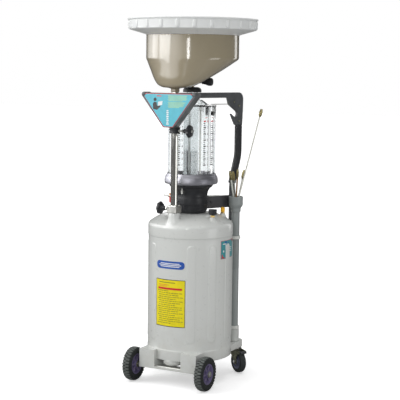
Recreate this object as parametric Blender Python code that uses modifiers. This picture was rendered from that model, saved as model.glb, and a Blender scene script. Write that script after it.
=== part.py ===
# Mobile waste-oil drainer: wheeled tank, clear measuring chamber, raised catch bowl.
# Frame: origin on the ground under the tank's axis, +Z up, the machine's front (label side) is -Y.
# All driving dimensions are millimetres and are turned into metres when the meshes are made.
import math

import bmesh
import bpy
from mathutils import Matrix, Vector

MM = 0.001
GAP = 0.3                     # clearance between neighbouring pieces

# tank
TANK_R = 190.0
TANK_WALL = 3.0
TANK_BOTTOM = 111.0
SKIRT_TOP = 159.0
BAND_LOW = 659.0
BAND_TOP = 708.0
BAND_R = 192.0
DOME_TOP = 758.0
PAD_R = 84.0
TANK_STEPS = 40
RIB_COUNT = 12
RIB_WIDTH = 41.0
RIB_LOW = 192.0
RIB_HIGH = 632.0
SUMP_Y = -148.0
SUMP_R = 44.0
SUMP_LOW = 82.0

# riser, bowl and splash ring
RISER_Y = -155.0
RISER_R = 15.5
RISER_BORE = 13.5
GUIDE_R = 19.5                # tube of the tool tray around the riser
RISER_LOW = 440.0
RISER_HIGH = 1309.0
NECK_R = 25.5
NECK_TOP = 771.0
BOWL_R = 207.0
BOWL_TOP = 1550.0
BOWL_EDGE = 1446.0
BOWL_LOW = 1318.0
OUTLET_LOW = 1298.5
BOWL_WALL = 3.0
RING_R = 290.0
RING_TOP = 1621.0
RING_CORNER = 1574.0
RING_CORNER_R = 284.0

# measuring chamber
CHAMBER_R = 108.0
CHAMBER_LOW = 939.0
CHAMBER_TOP = 1236.0
CHAMBER_FLUTES = 20
FLANGE_R = 120.5
FLANGE_LOW = 889.5
BASE_TOP = 889.0
CAP_LOW = 1298.0

# handle: column bends outward from the lower post along HANDLE_DIR
POST_X = 102.6
POST_Y = 201.0
HANDLE_DIR = Vector((0.2775, 0.9607, 0.0))
HANDLE_STEP = 40.5
POST_R = 12.5
GRIP_R = 17.5
POST_LOW = 706.0
GRIP_LOW = 883.0
GRIP_TOP = 1145.0
ARM_LOW = 1273.0
ARM_TOP = 1297.0

# probe holder
PROBE_X = 140.6
PROBE_Y = 172.8
PROBE_TUBE_R = 19.0
PROBE_BORE = 16.0
CUP_R = 33.0

# running gear
WHEEL_R = 76.0
WHEEL_X = 182.0
WHEEL_Y = -186.5
WHEEL_W = 40.0
CASTER_R = 51.0
CASTER_X = 136.0
CASTER_Y = 196.0
CASTER_TRAIL = 35.0
CASTER_YAW = math.radians(-32.5)
CASTER_TOP = 117.7
BRAKE_REACH = 66.0
BRAKE_Z = 100.0
BRACKET_LOW = 118.0
BRACKET_TOP = 148.0


# ---------------------------------------------------------------- scene set-up
for old in list(bpy.data.objects):
    bpy.data.objects.remove(old, do_unlink=True)

parts = bpy.data.collections.new("waste_oil_drainer")
cutters = bpy.data.collections.new("cutters")
bpy.context.scene.collection.children.link(parts)
bpy.context.scene.collection.children.link(cutters)


def material(name, color, metallic, roughness, transmission=0.0):
    mat = bpy.data.materials.new(name)
    mat.use_nodes = True
    shader = mat.node_tree.nodes["Principled BSDF"]
    shader.inputs["Base Color"].default_value = (color[0], color[1], color[2], 1.0)
    shader.inputs["Metallic"].default_value = metallic
    shader.inputs["Roughness"].default_value = roughness
    shader.inputs["Transmission Weight"].default_value = transmission
    mat.diffuse_color = (color[0], color[1], color[2], 1.0)
    return mat


PAINT = ("painted steel", (0.55, 0.57, 0.54), 0.0, 0.25, 0.0)
BEIGE = ("beige enamel", (0.42, 0.37, 0.26), 0.0, 0.12, 0.0)
RING_WHITE = ("ring plastic", (0.72, 0.73, 0.71), 0.0, 0.4, 0.0)
CHROME = ("chrome", (0.75, 0.75, 0.73), 1.0, 0.12, 0.0)
STEEL = ("zinc steel", (0.55, 0.55, 0.52), 1.0, 0.35, 0.0)
ALU = ("aluminium", (0.75, 0.76, 0.78), 1.0, 0.22, 0.0)
BRASS = ("brass", (0.60, 0.45, 0.18), 1.0, 0.3, 0.0)
BLACK = ("black plastic", (0.02, 0.02, 0.022), 0.0, 0.4, 0.0)
DARK = ("dark paint", (0.045, 0.05, 0.056), 0.0, 0.4, 0.0)
CLEAR = ("clear plastic", (0.93, 0.96, 0.95), 0.0, 0.05, 1.0)
RUBBER = ("tyre rubber", (0.045, 0.052, 0.05), 0.0, 0.8, 0.0)
HUB = ("hub plastic", (0.10, 0.08, 0.16), 0.0, 0.45, 0.0)
PVC = ("grey pipe", (0.20, 0.23, 0.24), 0.0, 0.4, 0.0)
PVC_LIGHT = ("light pipe", (0.42, 0.43, 0.41), 0.0, 0.4, 0.0)
YELLOW = ("yellow cap", (0.8, 0.42, 0.02), 0.0, 0.4, 0.0)
RED = ("red handle", (0.6, 0.03, 0.03), 0.0, 0.4, 0.0)
NYLON = ("probe nylon", (0.55, 0.58, 0.52), 0.0, 0.35, 0.3)
COPPER = ("probe copper", (0.25, 0.13, 0.05), 0.6, 0.4, 0.0)


def finish_mesh(name, bm, look, location, rotation, collection):
    """Turn a bmesh built in millimetres into a named object with its own material."""
    bmesh.ops.remove_doubles(bm, verts=bm.verts, dist=0.001)
    bmesh.ops.recalc_face_normals(bm, faces=bm.faces)
    bmesh.ops.scale(bm, vec=(MM, MM, MM), verts=bm.verts)
    mesh = bpy.data.meshes.new(name)
    bm.to_mesh(mesh)
    bm.free()
    obj = bpy.data.objects.new(name, mesh)
    collection.objects.link(obj)
    obj.location = Vector(location) * MM
    obj.rotation_euler = rotation
    if look is not None:
        mesh.materials.append(material(name + " " + look[0], *look[1:]))
    return obj


def loft(name, rings, look=None, location=(0, 0, 0), rotation=(0, 0, 0), closed=False,
         collection=None):
    """Skin a list of point rings; closed=True joins the last ring to the first (a hollow body)."""
    bm = bmesh.new()
    rows = [[bm.verts.new(p) for p in ring] for ring in rings]
    count = len(rows[0])
    pairs = list(zip(rows[:-1], rows[1:]))
    if closed:
        pairs.append((rows[-1], rows[0]))
    for low, high in pairs:
        for i in range(count):
            j = (i + 1) % count
            bm.faces.new((low[i], low[j], high[j], high[i]))
    if not closed:
        bm.faces.new(rows[0])
        bm.faces.new(rows[-1])
    return finish_mesh(name, bm, look, location, rotation, collection or parts)


def circle(radius, z, count, cx=0.0, cy=0.0, start=0.0):
    step = 2.0 * math.pi / count
    return [(cx + radius * math.cos(start + i * step), cy + radius * math.sin(start + i * step), z)
            for i in range(count)]


def turned(name, profile, look=None, location=(0, 0, 0), rotation=(0, 0, 0), steps=32,
           collection=None):
    """Screw a half profile (radius, height) about local Z; it runs down the outer side."""
    mesh = bpy.data.meshes.new(name)
    verts = [(r * MM, 0.0, z * MM) for r, z in profile]
    edges = [(i, i + 1) for i in range(len(verts) - 1)]
    if profile[0][0] > 0.0 and profile[-1][0] > 0.0:
        edges.append((len(verts) - 1, 0))
    mesh.from_pydata(verts, edges, [])
    obj = bpy.data.objects.new(name, mesh)
    (collection or parts).objects.link(obj)
    obj.location = Vector(location) * MM
    obj.rotation_euler = rotation
    screw = obj.modifiers.new("turn", "SCREW")
    screw.axis = "Z"
    screw.steps = steps
    screw.render_steps = steps
    screw.use_merge_vertices = True
    screw.merge_threshold = 0.00001
    if look is not None:
        mesh.materials.append(material(name + " " + look[0], *look[1:]))
    return obj


def prism(name, outline, low, high, look=None, location=(0, 0, 0), rotation=(0, 0, 0),
          collection=None):
    """Extrude a plan outline between two heights."""
    rings = [[(x, y, low) for x, y in outline], [(x, y, high) for x, y in outline]]
    return loft(name, rings, look, location, rotation, False, collection)


def box(name, size, centre, look=None, bevel=0.0, rotation=(0, 0, 0), collection=None):
    hx, hy, hz = size[0] / 2.0, size[1] / 2.0, size[2] / 2.0
    outline = [(-hx, -hy), (hx, -hy), (hx, hy), (-hx, hy)]
    obj = prism(name, outline, -hz, hz, look, centre, rotation, collection)
    if bevel > 0.0:
        soften(obj, bevel)
    return obj


def soften(obj, width, segments=2, angle=35.0):
    bevel = obj.modifiers.new("edge", "BEVEL")
    bevel.width = width * MM
    bevel.segments = segments
    bevel.limit_method = "ANGLE"
    bevel.angle_limit = math.radians(angle)
    return obj


def cutter(obj):
    obj.hide_render = True
    obj.display_type = "WIRE"
    return obj


def combine(obj, other, operation):
    step = obj.modifiers.new(operation.lower(), "BOOLEAN")
    step.operation = operation
    step.solver = "EXACT"
    step.object = other
    cutter(other)
    return obj


def cut(obj, other):
    return combine(obj, other, "DIFFERENCE")


def join(obj, other):
    return combine(obj, other, "UNION")


def helper_rod(name, radius, start, end, steps=24):
    """Cylinder between two points, used as a cutter or as an added boss."""
    a = Vector(start)
    b = Vector(end)
    length = (b - a).length
    spin = (b - a).to_track_quat("Z", "Y").to_euler()
    return turned(name, [(0, length), (radius, length), (radius, 0), (0, 0)], None, a, spin,
                  steps, cutters)


def rounded(points, radius, steps=5):
    """Round the corners of a 3-D polyline with arcs of the given radius."""
    pts = [Vector(p) for p in points]
    out = [pts[0]]
    for i in range(1, len(pts) - 1):
        a = (pts[i - 1] - pts[i]).normalized()
        b = (pts[i + 1] - pts[i]).normalized()
        half = a.angle(b) / 2.0
        reach = radius / math.tan(half)
        centre = pts[i] + (a + b).normalized() * (radius / math.sin(half))
        first = pts[i] + a * reach - centre
        last = pts[i] + b * reach - centre
        total = first.angle(last)
        axis = first.cross(last).normalized()
        for k in range(steps + 1):
            out.append(centre + Matrix.Rotation(total * k / steps, 3, axis) @ first)
    out.append(pts[-1])
    return out


def frames(path):
    """Parallel-transported frames along a path, so the swept section does not twist."""
    tangents = []
    for i in range(len(path)):
        before = path[max(i - 1, 0)]
        after = path[min(i + 1, len(path) - 1)]
        tangents.append((after - before).normalized())
    side = tangents[0].orthogonal().normalized()
    result = []
    for point, tangent in zip(path, tangents):
        side = (side - tangent * side.dot(tangent)).normalized()
        result.append((point, side, tangent.cross(side)))
    return result


def sweep(name, path, radii, look, bore=0.0, count=20, location=(0, 0, 0)):
    """Round bar or hollow tube along a path; radii is one value or one per path point."""
    base = Vector(location)
    local = [p - base for p in path]
    if not isinstance(radii, (list, tuple)):
        radii = [radii] * len(local)
    outer = []
    inner = []
    for (point, side, up), radius in zip(frames(local), radii):
        ring = []
        hole = []
        for i in range(count):
            angle = 2.0 * math.pi * i / count
            reach = side * math.cos(angle) + up * math.sin(angle)
            ring.append(tuple(point + reach * radius))
            hole.append(tuple(point + reach * bore))
        outer.append(ring)
        inner.append(hole)
    if bore > 0.0:
        return loft(name, outer + inner[::-1], look, location, (0, 0, 0), True)
    return loft(name, outer, look, location)


# ---------------------------------------------------------------- tank
def dome_height(radius):
    """Height of the domed top at a given radius."""
    if radius <= PAD_R:
        return DOME_TOP
    share = (radius - PAD_R) / (TANK_R - 6.0 - PAD_R)
    return DOME_TOP - 40.0 * share ** 1.9


def tank_profile(inset, lift):
    """Half profile of the tank, inset by the wall for the inner surface."""
    profile = [(0, DOME_TOP - lift), (PAD_R, DOME_TOP - lift)]
    for radius in (110.0, 135.0, 155.0, 172.0, 184.0):
        profile.append((radius - inset * 0.4, dome_height(radius) - lift))
    profile.append((BAND_R - inset, BAND_TOP - 2.0 - lift * 0.4))
    return profile


outer = tank_profile(0.0, 0.0) + [
    (BAND_R, BAND_LOW + 3.0), (TANK_R, BAND_LOW), (TANK_R, SKIRT_TOP), (TANK_R + 1.4, SKIRT_TOP - 3.0),
    (TANK_R + 1.4, TANK_BOTTOM + 2.0), (TANK_R - 1.0, TANK_BOTTOM), (TANK_R - 8.0, TANK_BOTTOM),
    (TANK_R - 12.0, TANK_BOTTOM + 6.0), (0, TANK_BOTTOM + 1.0)]
tank = turned("tank_shell", outer, PAINT, steps=TANK_STEPS)

RIB_ROWS = ((0.0, 0.3), (0.12, 0.7), (0.5, 1.0))


def rib_rings(angle):
    """Cross-sections of one pressed rib with half-round ends, following the tank wall."""
    rows = []
    for drop, share in RIB_ROWS:
        rows.append((RIB_LOW + drop * RIB_WIDTH, share))
    for drop, share in RIB_ROWS[::-1]:
        rows.append((RIB_HIGH - drop * RIB_WIDTH, share))
    rings = []
    for height, share in rows:
        half = share * RIB_WIDTH / 2.0 / TANK_R
        ring = []
        for offset, radius in ((-1.0, -1.5), (-0.8, 1.6), (0.8, 1.6), (1.0, -1.5)):
            a = angle + offset * half
            r = TANK_R + radius
            ring.append((r * math.sin(a), -r * math.cos(a), height))
        rings.append(ring)
    return rings


for index in range(1, RIB_COUNT):
    rib = loft("rib_%02d" % index, rib_rings(2.0 * math.pi * index / RIB_COUNT), collection=cutters)
    join(tank, rib)

neck = turned("neck_form", [(0, NECK_TOP), (NECK_R, NECK_TOP), (NECK_R, 742), (NECK_R + 3, 732),
                            (NECK_R + 12, 722), (NECK_R + 12, 712), (0, 712)],
              None, (0, RISER_Y, 0), steps=32, collection=cutters)
join(tank, neck)
PORTS = ((140.0, -54.0, 750.0), (113.0, 96.0, 751.0))
for index, (x, y, top) in enumerate(PORTS):
    boss = turned("boss_%d" % index, [(0, top), (12, top), (13, top - 6), (18, top - 22), (0, top - 22)],
                  None, (x, y, 0), steps=20, collection=cutters)
    join(tank, boss)
sump = turned("sump_form", [(0, 120), (SUMP_R, 120), (SUMP_R, 101), (SUMP_R - 3, 92.5), (SUMP_R - 9, 87),
                            (SUMP_R - 20, SUMP_LOW + 1), (SUMP_R - 30, SUMP_LOW), (0, SUMP_LOW)],
              None, (0, SUMP_Y, 0), steps=28, collection=cutters)
join(tank, sump)
inner = tank_profile(TANK_WALL, TANK_WALL) + [
    (TANK_R - TANK_WALL, BAND_LOW - 4.0), (TANK_R - TANK_WALL, 150.0), (TANK_R - 16.0, 124.0), (0, 116.0)]
cut(tank, turned("tank_hollow", inner, None, steps=TANK_STEPS, collection=cutters))
cut(tank, helper_rod("neck_bore", RISER_R + 1.0, (0, RISER_Y, 690), (0, RISER_Y, NECK_TOP + 5)))
for index, (x, y, top) in enumerate(PORTS):
    cut(tank, helper_rod("port_bore_%d" % index, 4.3, (x, y, 700), (x, y, top + 5), 12))

# ---------------------------------------------------------------- front running gear
bracket = box("front_bracket", (288, 84, 84), (0, -160, 112), PAINT)
cut(bracket, box("front_window", (134, 200, 200), (0, -160, 180), collection=cutters))
cut(bracket, box("front_passage", (134, 62, 60), (0, -152, 98), collection=cutters))
cut(bracket, helper_rod("front_tank_room", TANK_R + 1.4 + GAP, (0, 0, TANK_BOTTOM - GAP), (0, 0, 400), 64))
cut(bracket, helper_rod("sump_room", SUMP_R + 3, (0, SUMP_Y, 60), (0, SUMP_Y, 130)))
cut(bracket, helper_rod("axle_room", 7 + GAP, (-200, WHEEL_Y, WHEEL_R), (200, WHEEL_Y, WHEEL_R)))

axle_half = WHEEL_X + WHEEL_W / 2.0 + 8.0
turned("front_axle",
       [(0, axle_half), (11, axle_half), (12, axle_half - 1), (12, axle_half - 5), (7, axle_half - 5),
        (7, 5 - axle_half), (12, 5 - axle_half), (12, 1 - axle_half), (11, -axle_half), (0, -axle_half)],
       STEEL, (0, WHEEL_Y, WHEEL_R), (0, math.pi / 2, 0), steps=14)


def wheel(name, radius, width, hub_radius, bore, location, rotation):
    """Tyre and hub as separate pieces sharing one axis (local Z)."""
    h = width / 2.0
    turned(name + "_tyre",
           [(hub_radius + GAP, h - 2), (radius - 12, h), (radius - 4, h - 3), (radius, h - 11),
            (radius, 11 - h), (radius - 4, 3 - h), (radius - 12, -h), (hub_radius + GAP, 2 - h)],
           RUBBER, location, rotation, steps=22)
    turned(name + "_hub",
           [(bore, h + 1), (bore + 9, h + 1), (bore + 11, h - 6), (hub_radius - 8, h - 6),
            (hub_radius - 4, h - 3),
            (hub_radius, h - 3), (hub_radius, 3 - h), (hub_radius - 4, 3 - h), (hub_radius - 8, 6 - h),
            (bore + 11, 6 - h), (bore + 9, -h - 1), (bore, -h - 1)],
           HUB, location, rotation, steps=22)


for side, label in ((-1, "left"), (1, "right")):
    wheel("front_%s" % label, WHEEL_R, WHEEL_W, 46.0, 7 + GAP,
          (side * WHEEL_X, WHEEL_Y, WHEEL_R), (0, math.pi / 2, 0))


# ---------------------------------------------------------------- rear brackets and casters
def stadium(cx, half, y_start, y_end, steps=10):
    """Straight arm outline along +Y with a half-round end centred at y_end."""
    points = [(cx - half, y_start), (cx + half, y_start)]
    for i in range(steps + 1):
        a = math.pi * i / steps
        points.append((cx + half * math.cos(a), y_end + half * math.sin(a)))
    return points


for side, label in ((-1, "left"), (1, "right")):
    cx = side * CASTER_X
    arm = prism("rear_bracket_" + label, stadium(cx, 34, 60, CASTER_Y), BRACKET_LOW, BRACKET_TOP, PAINT)
    cut(arm, prism("arm_hollow_" + label, stadium(cx, 31, 20, CASTER_Y), BRACKET_LOW - 5, BRACKET_TOP - 4,
                   collection=cutters))
    join(arm, helper_rod("arm_boss_" + label, 22, (cx, CASTER_Y, BRACKET_LOW),
                         (cx, CASTER_Y, BRACKET_TOP - 3)))
    cut(arm, helper_rod("arm_tank_" + label, TANK_R + 1.4 + GAP, (0, 0, 60), (0, 0, 400), 64))
    cut(arm, helper_rod("arm_pin_" + label, 6 + GAP, (cx, CASTER_Y, BRACKET_LOW - 5), (cx, CASTER_Y, 143.5)))

    # the fork swivels; local +X is the trailing direction, local Y the wheel's axle
    spin = (0, 0, CASTER_YAW)
    cheek = [(-22, -3), (-20, -9), (CASTER_TRAIL - 11, -61), (CASTER_TRAIL - 7, -70), (CASTER_TRAIL, -73),
             (CASTER_TRAIL + 8, -70), (CASTER_TRAIL + 11, -61), (CASTER_TRAIL + 9, -50), (48, -34), (62, -19),
             (69, -18), (72, -12), (69, -6), (60, -5), (28, -3)]
    fork = turned("caster_fork_" + label,
                  [(0, 31), (6, 31), (6, CASTER_TOP - 112), (24, CASTER_TOP - 112), (29, CASTER_TOP - 114),
                   (29, -6), (0, -6)],
                  STEEL, (cx, CASTER_Y, 112), spin, steps=20)
    for hand in (-1, 1):
        plate = loft("cheek_%s_%d" % (label, hand),
                     [[(x, hand * 17.0, z) for x, z in cheek], [(x, hand * 20.0, z) for x, z in cheek]],
                     None, (cx, CASTER_Y, 112), spin, False, cutters)
        join(fork, plate)
        turn = Matrix.Rotation(CASTER_YAW, 3, "Z")
        a = turn @ Vector((CASTER_TRAIL, hand * 14.0, 51 - 112)) + Vector((cx, CASTER_Y, 112))
        b = turn @ Vector((CASTER_TRAIL, hand * 23.0, 51 - 112)) + Vector((cx, CASTER_Y, 112))
        cut(fork, helper_rod("fork_bore_%s_%d" % (label, hand), 5 + GAP, a, b, 20))
        a = turn @ Vector((BRAKE_REACH, hand * 14.0, BRAKE_Z - 112)) + Vector((cx, CASTER_Y, 112))
        b = turn @ Vector((BRAKE_REACH, hand * 23.0, BRAKE_Z - 112)) + Vector((cx, CASTER_Y, 112))
        cut(fork, helper_rod("brake_bore_%s_%d" % (label, hand), 2.5 + GAP, a, b, 16))
    centre = turn @ Vector((CASTER_TRAIL, 0, 0)) + Vector((cx, CASTER_Y, CASTER_R))
    lying = (math.pi / 2, 0, CASTER_YAW)
    turned("caster_axle_" + label,
           [(0, 24), (7, 24), (8, 23), (8, 20.3), (5, 20.3), (5, -20.3), (8, -20.3), (8, -23), (7, -24),
            (0, -24)],
           STEEL, centre, lying, steps=12)
    wheel("caster_" + label, CASTER_R, 30.0, 34.0, 5 + GAP, centre, lying)
    hinge = turn @ Vector((BRAKE_REACH, 0, 0)) + Vector((cx, CASTER_Y, BRAKE_Z))
    brake = turned("caster_brake_" + label,
                   [(0, 19.5), (2.5, 19.5), (2.5, -19.5), (0, -19.5)], BLACK, hinge, lying, steps=16)
    tab = [(-5, 3), (0, -2.2), (9, -1), (15, -4), (17, -1), (11, 4.6), (0, 5)]
    join(brake, loft("brake_tab_" + label,
                     [[(x, -15.0, z) for x, z in tab], [(x, 15.0, z) for x, z in tab]],
                     None, hinge, spin, False, cutters))

# ---------------------------------------------------------------- chamber base, flange and glass
pad = [(98, BASE_TOP), (98, 880), (88, 872), (79, 860), (75, 848), (74, 832), (76, 828), (76, 800), (74, 796),
       (74, 772), (66, DOME_TOP + GAP), (12, DOME_TOP + GAP), (12, 868), (80, 872), (80, BASE_TOP)]
base = turned("chamber_base", pad, BLACK, steps=30)
cut(base, helper_rod("inlet_bore", 6.3, (-90, 0, 828), (-60, 0, 828), 16))

turned("chamber_flange",
       [(104, CHAMBER_LOW - 1), (110, CHAMBER_LOW - 3), (112, 930), (117, 923), (120, 914), (FLANGE_R, 900),
        (FLANGE_R - 1, 894), (116, FLANGE_LOW), (76, FLANGE_LOW), (76, 898), (96, 901), (99, 926),
        (99, CHAMBER_LOW - 1)],
       ALU, steps=30)


def fluted(radius, depth, z, count, samples=4):
    """Ring of shallow convex flutes, each an arc between two creases."""
    ring = []
    total = count * samples
    for i in range(total):
        share = (i % samples) / samples
        bulge = math.sin(math.pi * share)
        r = radius - depth + depth * bulge
        a = 2.0 * math.pi * i / total
        ring.append((r * math.cos(a), r * math.sin(a), z))
    return ring


low = CHAMBER_LOW - 0.7
wall_inner = circle(CHAMBER_R - 7.0, low, CHAMBER_FLUTES * 4)
wall_inner_top = circle(CHAMBER_R - 7.0, CHAMBER_TOP, CHAMBER_FLUTES * 4)
loft("chamber_wall",
     [fluted(CHAMBER_R, 3.0, low, CHAMBER_FLUTES), fluted(CHAMBER_R, 3.0, CHAMBER_TOP, CHAMBER_FLUTES),
      wall_inner_top, wall_inner], CLEAR, closed=True)

turned("chamber_top",
       [(21, CAP_LOW - GAP), (25, CAP_LOW - GAP), (25, 1272), (43, 1267), (75, 1244), (110, 1240.5),
        (110, CHAMBER_TOP + GAP), (72, CHAMBER_TOP + GAP), (40, 1261), (21, 1267)],
       CLEAR, steps=30)

turned("valve_cap",
       [(0, 1322), (22, 1322), (34, 1319), (40, 1312), (41.5, 1305), (41.5, CAP_LOW), (0, CAP_LOW)],
       BLACK, steps=24)
turned("valve_nut", [(0, 1331), (6, 1331), (9, 1329), (9, 1322.3), (0, 1322.3)], BRASS, steps=6)

# lever: flat neck turning on the nut, flared grip pointing to the right rear
LEVER_YAW = math.radians(28.4)
lever = turned("valve_lever", [(0, 1342), (7, 1342), (8, 1340), (8, 1331.3), (0, 1331.3)], STEEL,
               (0, 0, 0), (0, 0, LEVER_YAW), steps=20)
reach = Vector((math.cos(LEVER_YAW), math.sin(LEVER_YAW), 0.0))
join(lever, helper_rod("lever_bar", 4.0, Vector((0, 0, 1337)), reach * 46 + Vector((0, 0, 1343)), 14))
turned("lever_grip",
       [(0, 94), (10, 94), (15, 91.5), (18, 85), (17.5, 72), (13, 60), (10.5, 50), (10, 43), (5.2, 42),
        (4.5, 42), (4.5, 50), (0, 50)],
       BLACK, (0, 0, 1345), (0, math.pi / 2, LEVER_YAW), steps=16)
cut(bpy.data.objects["lever_grip"],
    helper_rod("grip_socket", 4.0 + GAP, Vector((0, 0, 1337)), reach * 48.5 + Vector((0, 0, 1343.3)), 14))

# ---------------------------------------------------------------- air inlet, fittings on the base
turned("air_valve_body",
       [(0, 40), (7, 40), (7, 33), (10, 32), (10, 10), (7.5, 9), (7.5, 3), (6, 2), (6, -8), (0, -8)],
       BRASS, (-77, 0, 828), (0, -math.pi / 2, 0), steps=16)
join(bpy.data.objects["air_valve_body"],
     helper_rod("valve_stem_boss", 5.0, (-98, 0, 828), (-98, -14, 828), 14))
turned("air_nipple",
       [(0, 24), (3.5, 24), (4.5, 22), (3.5, 17), (4.5, 14), (4.5, 8), (6, 7), (6, 0), (0, 0)],
       STEEL, (-117.3, 0, 828), (0, -math.pi / 2, 0), steps=16)
handle = box("air_valve_lever", (11, 3.2, 38), (-98, -16.2, 828), RED)
handle.data.transform(Matrix.Translation((0, 0, -0.012)))
soften(handle, 1.2)
turned("base_fitting",
       [(0, 24), (3.5, 24), (3.5, 17), (5.5, 16), (5.5, 8), (4, 7), (4, 0), (0, 0)],
       STEEL, (5, -91, 848), steps=14)

# ---------------------------------------------------------------- clamp arm, post, grip and handle arm
post_dir = Vector((POST_X, POST_Y, 0)).normalized()
arm_yaw = math.atan2(post_dir.y, post_dir.x)
span = Vector((POST_X, POST_Y, 0)).length
clamp = box("clamp_arm", (span - 5 - 62, 24, 55), post_dir * ((62 + span - 5) / 2.0) + Vector((0, 0, 797.5)),
            BLACK, rotation=(0, 0, arm_yaw))
soften(clamp, 3.0)
cut(clamp, helper_rod("base_room", 76 + GAP, (0, 0, 700), (0, 0, 900), 48))
cut(clamp, helper_rod("post_room", POST_R + GAP, (POST_X, POST_Y, 700), (POST_X, POST_Y, 900), 28))

column = Vector((POST_X, POST_Y, 0)) + HANDLE_DIR * HANDLE_STEP
path = rounded([(POST_X, POST_Y, POST_LOW), (POST_X, POST_Y, 876), (column.x, column.y, 1010),
                (column.x, column.y, GRIP_TOP + 2)], 170.0, 5)
sweep("post", path, POST_R - 0.6, DARK, 0.0, 14, (POST_X, POST_Y, POST_LOW))


def trimmed(points, low_z):
    """The part of an upward path above a height, with a new first point on that height."""
    for i in range(len(points) - 1):
        if points[i].z <= low_z < points[i + 1].z:
            share = (low_z - points[i].z) / (points[i + 1].z - points[i].z)
            return [points[i].lerp(points[i + 1], share)] + points[i + 1:]
    return points


grip_path = trimmed(path, GRIP_LOW)
grip_path[-1] = Vector((column.x, column.y, GRIP_TOP))
sweep("grip_sleeve", grip_path, GRIP_R, BLACK, POST_R, 16, (POST_X, POST_Y, GRIP_LOW))

# the plate lies in the vertical plane of the handle; u runs from the column toward the chamber
inward = -HANDLE_DIR
reach_end = (column - Vector((0, RISER_Y, 0))).length - GUIDE_R - GAP
outline = [(-20, 1148), (26, 1148), (57, 1201), (40, 1190), (27, 1184), (20, 1186), (15, 1195),
           (15, 1204), (18, 1210), (69, 1242), (74, 1258), (80, ARM_LOW), (reach_end, ARM_LOW),
           (reach_end, ARM_TOP), (2, ARM_TOP), (-9, 1294), (-18, 1286), (-23, 1274), (-24, 1262), (-22, 1180)]
side_dir = Vector((-inward.y, inward.x, 0.0))
rings = []
for offset in (-7.0, 7.0):
    rings.append([tuple(inward * u + side_dir * offset + Vector((0, 0, z))) for u, z in outline])
arm = loft("handle_arm", rings, DARK, (column.x, column.y, 0))
soften(arm, 1.6, 2, 50.0)
brace_start = 70.6
brace_end = 178.0
brace = box("chamber_brace", (brace_end - brace_start, 10, 3),
            column + inward * ((brace_start + brace_end) / 2.0) + Vector((0, 0, 1244.4)), STEEL,
            rotation=(0, 0, math.atan2(inward.y, inward.x)))

# ---------------------------------------------------------------- probe holder and probes
foot = turned("probe_foot",
              [(PROBE_TUBE_R + GAP, 206), (24, 206), (24, 160), (27, 158), (27, BRACKET_TOP + GAP),
               (0, BRACKET_TOP + GAP), (0, 153), (PROBE_TUBE_R + GAP, 153)],
              PVC_LIGHT, (PROBE_X, PROBE_Y, 0), steps=22)
turned("probe_tube",
       [(PROBE_BORE, 790), (PROBE_TUBE_R, 790), (PROBE_TUBE_R, 487), (PROBE_TUBE_R - 0.6, 486),
        (PROBE_TUBE_R - 0.6, 484), (PROBE_TUBE_R, 483), (PROBE_TUBE_R, 153.3), (PROBE_BORE, 153.3)],
       PVC, (PROBE_X, PROBE_Y, 0), steps=22)
turned("probe_cup",
       [(CUP_R - 3, 823), (CUP_R, 823), (CUP_R, 783), (23, 768), (23, 752), (PROBE_TUBE_R + GAP, 752),
        (PROBE_TUBE_R + GAP, 790.3), (CUP_R - 3, 794)],
       PVC, (PROBE_X, PROBE_Y, 0), steps=24)
probe_dir = Vector((PROBE_X, PROBE_Y, 0)).normalized()
probe_yaw = math.atan2(probe_dir.y, probe_dir.x)
for label, height in (("upper", 634.0), ("lower", 214.0)):
    ring = turned("probe_clamp_" + label,
                  [(PROBE_TUBE_R + GAP, height + 7), (23.5, height + 7), (23.5, height - 7),
                   (PROBE_TUBE_R + GAP, height - 7)], RING_WHITE, (PROBE_X, PROBE_Y, 0), steps=20)
    block = box("clamp_foot_" + label, (16, 12, 14), probe_dir * (TANK_R + GAP + 7.0) + Vector((0, 0,
                                                                                                height)),
                rotation=(0, 0, probe_yaw), collection=cutters)
    join(ring, block)
    cut(ring, helper_rod("clamp_tank_" + label, TANK_R + GAP, (0, 0, height - 30), (0, 0, height + 30), 64))
    cut(ring, helper_rod("clamp_bore_" + label, PROBE_TUBE_R + GAP, (PROBE_X, PROBE_Y, height - 30),
                         (PROBE_X, PROBE_Y, height + 30), 20))

# each probe: start and end along the fan and across it with heights, radius, end-fitting radius, look
FAN = Vector((0.88, 0.475, 0.0))
ACROSS = Vector((-0.475, 0.88, 0.0))
PROBES = (
    ("probe_clear", -8.5, -4.0, 430.0, -29.0, -6.0, 940.0, 3.5, 7.0, NYLON),
    ("probe_smoke", -2.5, 7.5, 470.0, -14.0, 16.0, 936.0, 3.2, 6.0, NYLON),
    ("probe_copper", 0.5, -9.0, 380.0, 6.0, -16.0, 948.0, 3.2, 6.0, COPPER),
    ("probe_white", 9.0, 3.5, 450.0, 36.5, 4.0, 944.0, 3.6, 7.0, NYLON),
)
for name, x0, y0, z0, x1, y1, z1, radius, tip, look in PROBES:
    centre = Vector((PROBE_X, PROBE_Y, 0))
    start = centre + FAN * x0 + ACROSS * y0 + Vector((0, 0, z0))
    mouth = centre + FAN * x0 + ACROSS * y0 + Vector((0, 0, 800))
    end = centre + FAN * x1 + ACROSS * y1 + Vector((0, 0, z1))
    line = rounded([start, mouth, end], 260.0, 3)
    last = (end - line[-2]).normalized()
    fitting = end - last * 42.0
    stations = line[:-1] + [fitting - last * 2.0, fitting, fitting + last * 30.0, fitting + last * 31.0,
                            end - last * 1.0, end]
    sizes = [radius] * len(line) + [tip, tip, tip * 0.84, tip * 0.84, tip * 0.7]
    sweep(name, stations, sizes, look, 0.0, 12, start)

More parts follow.
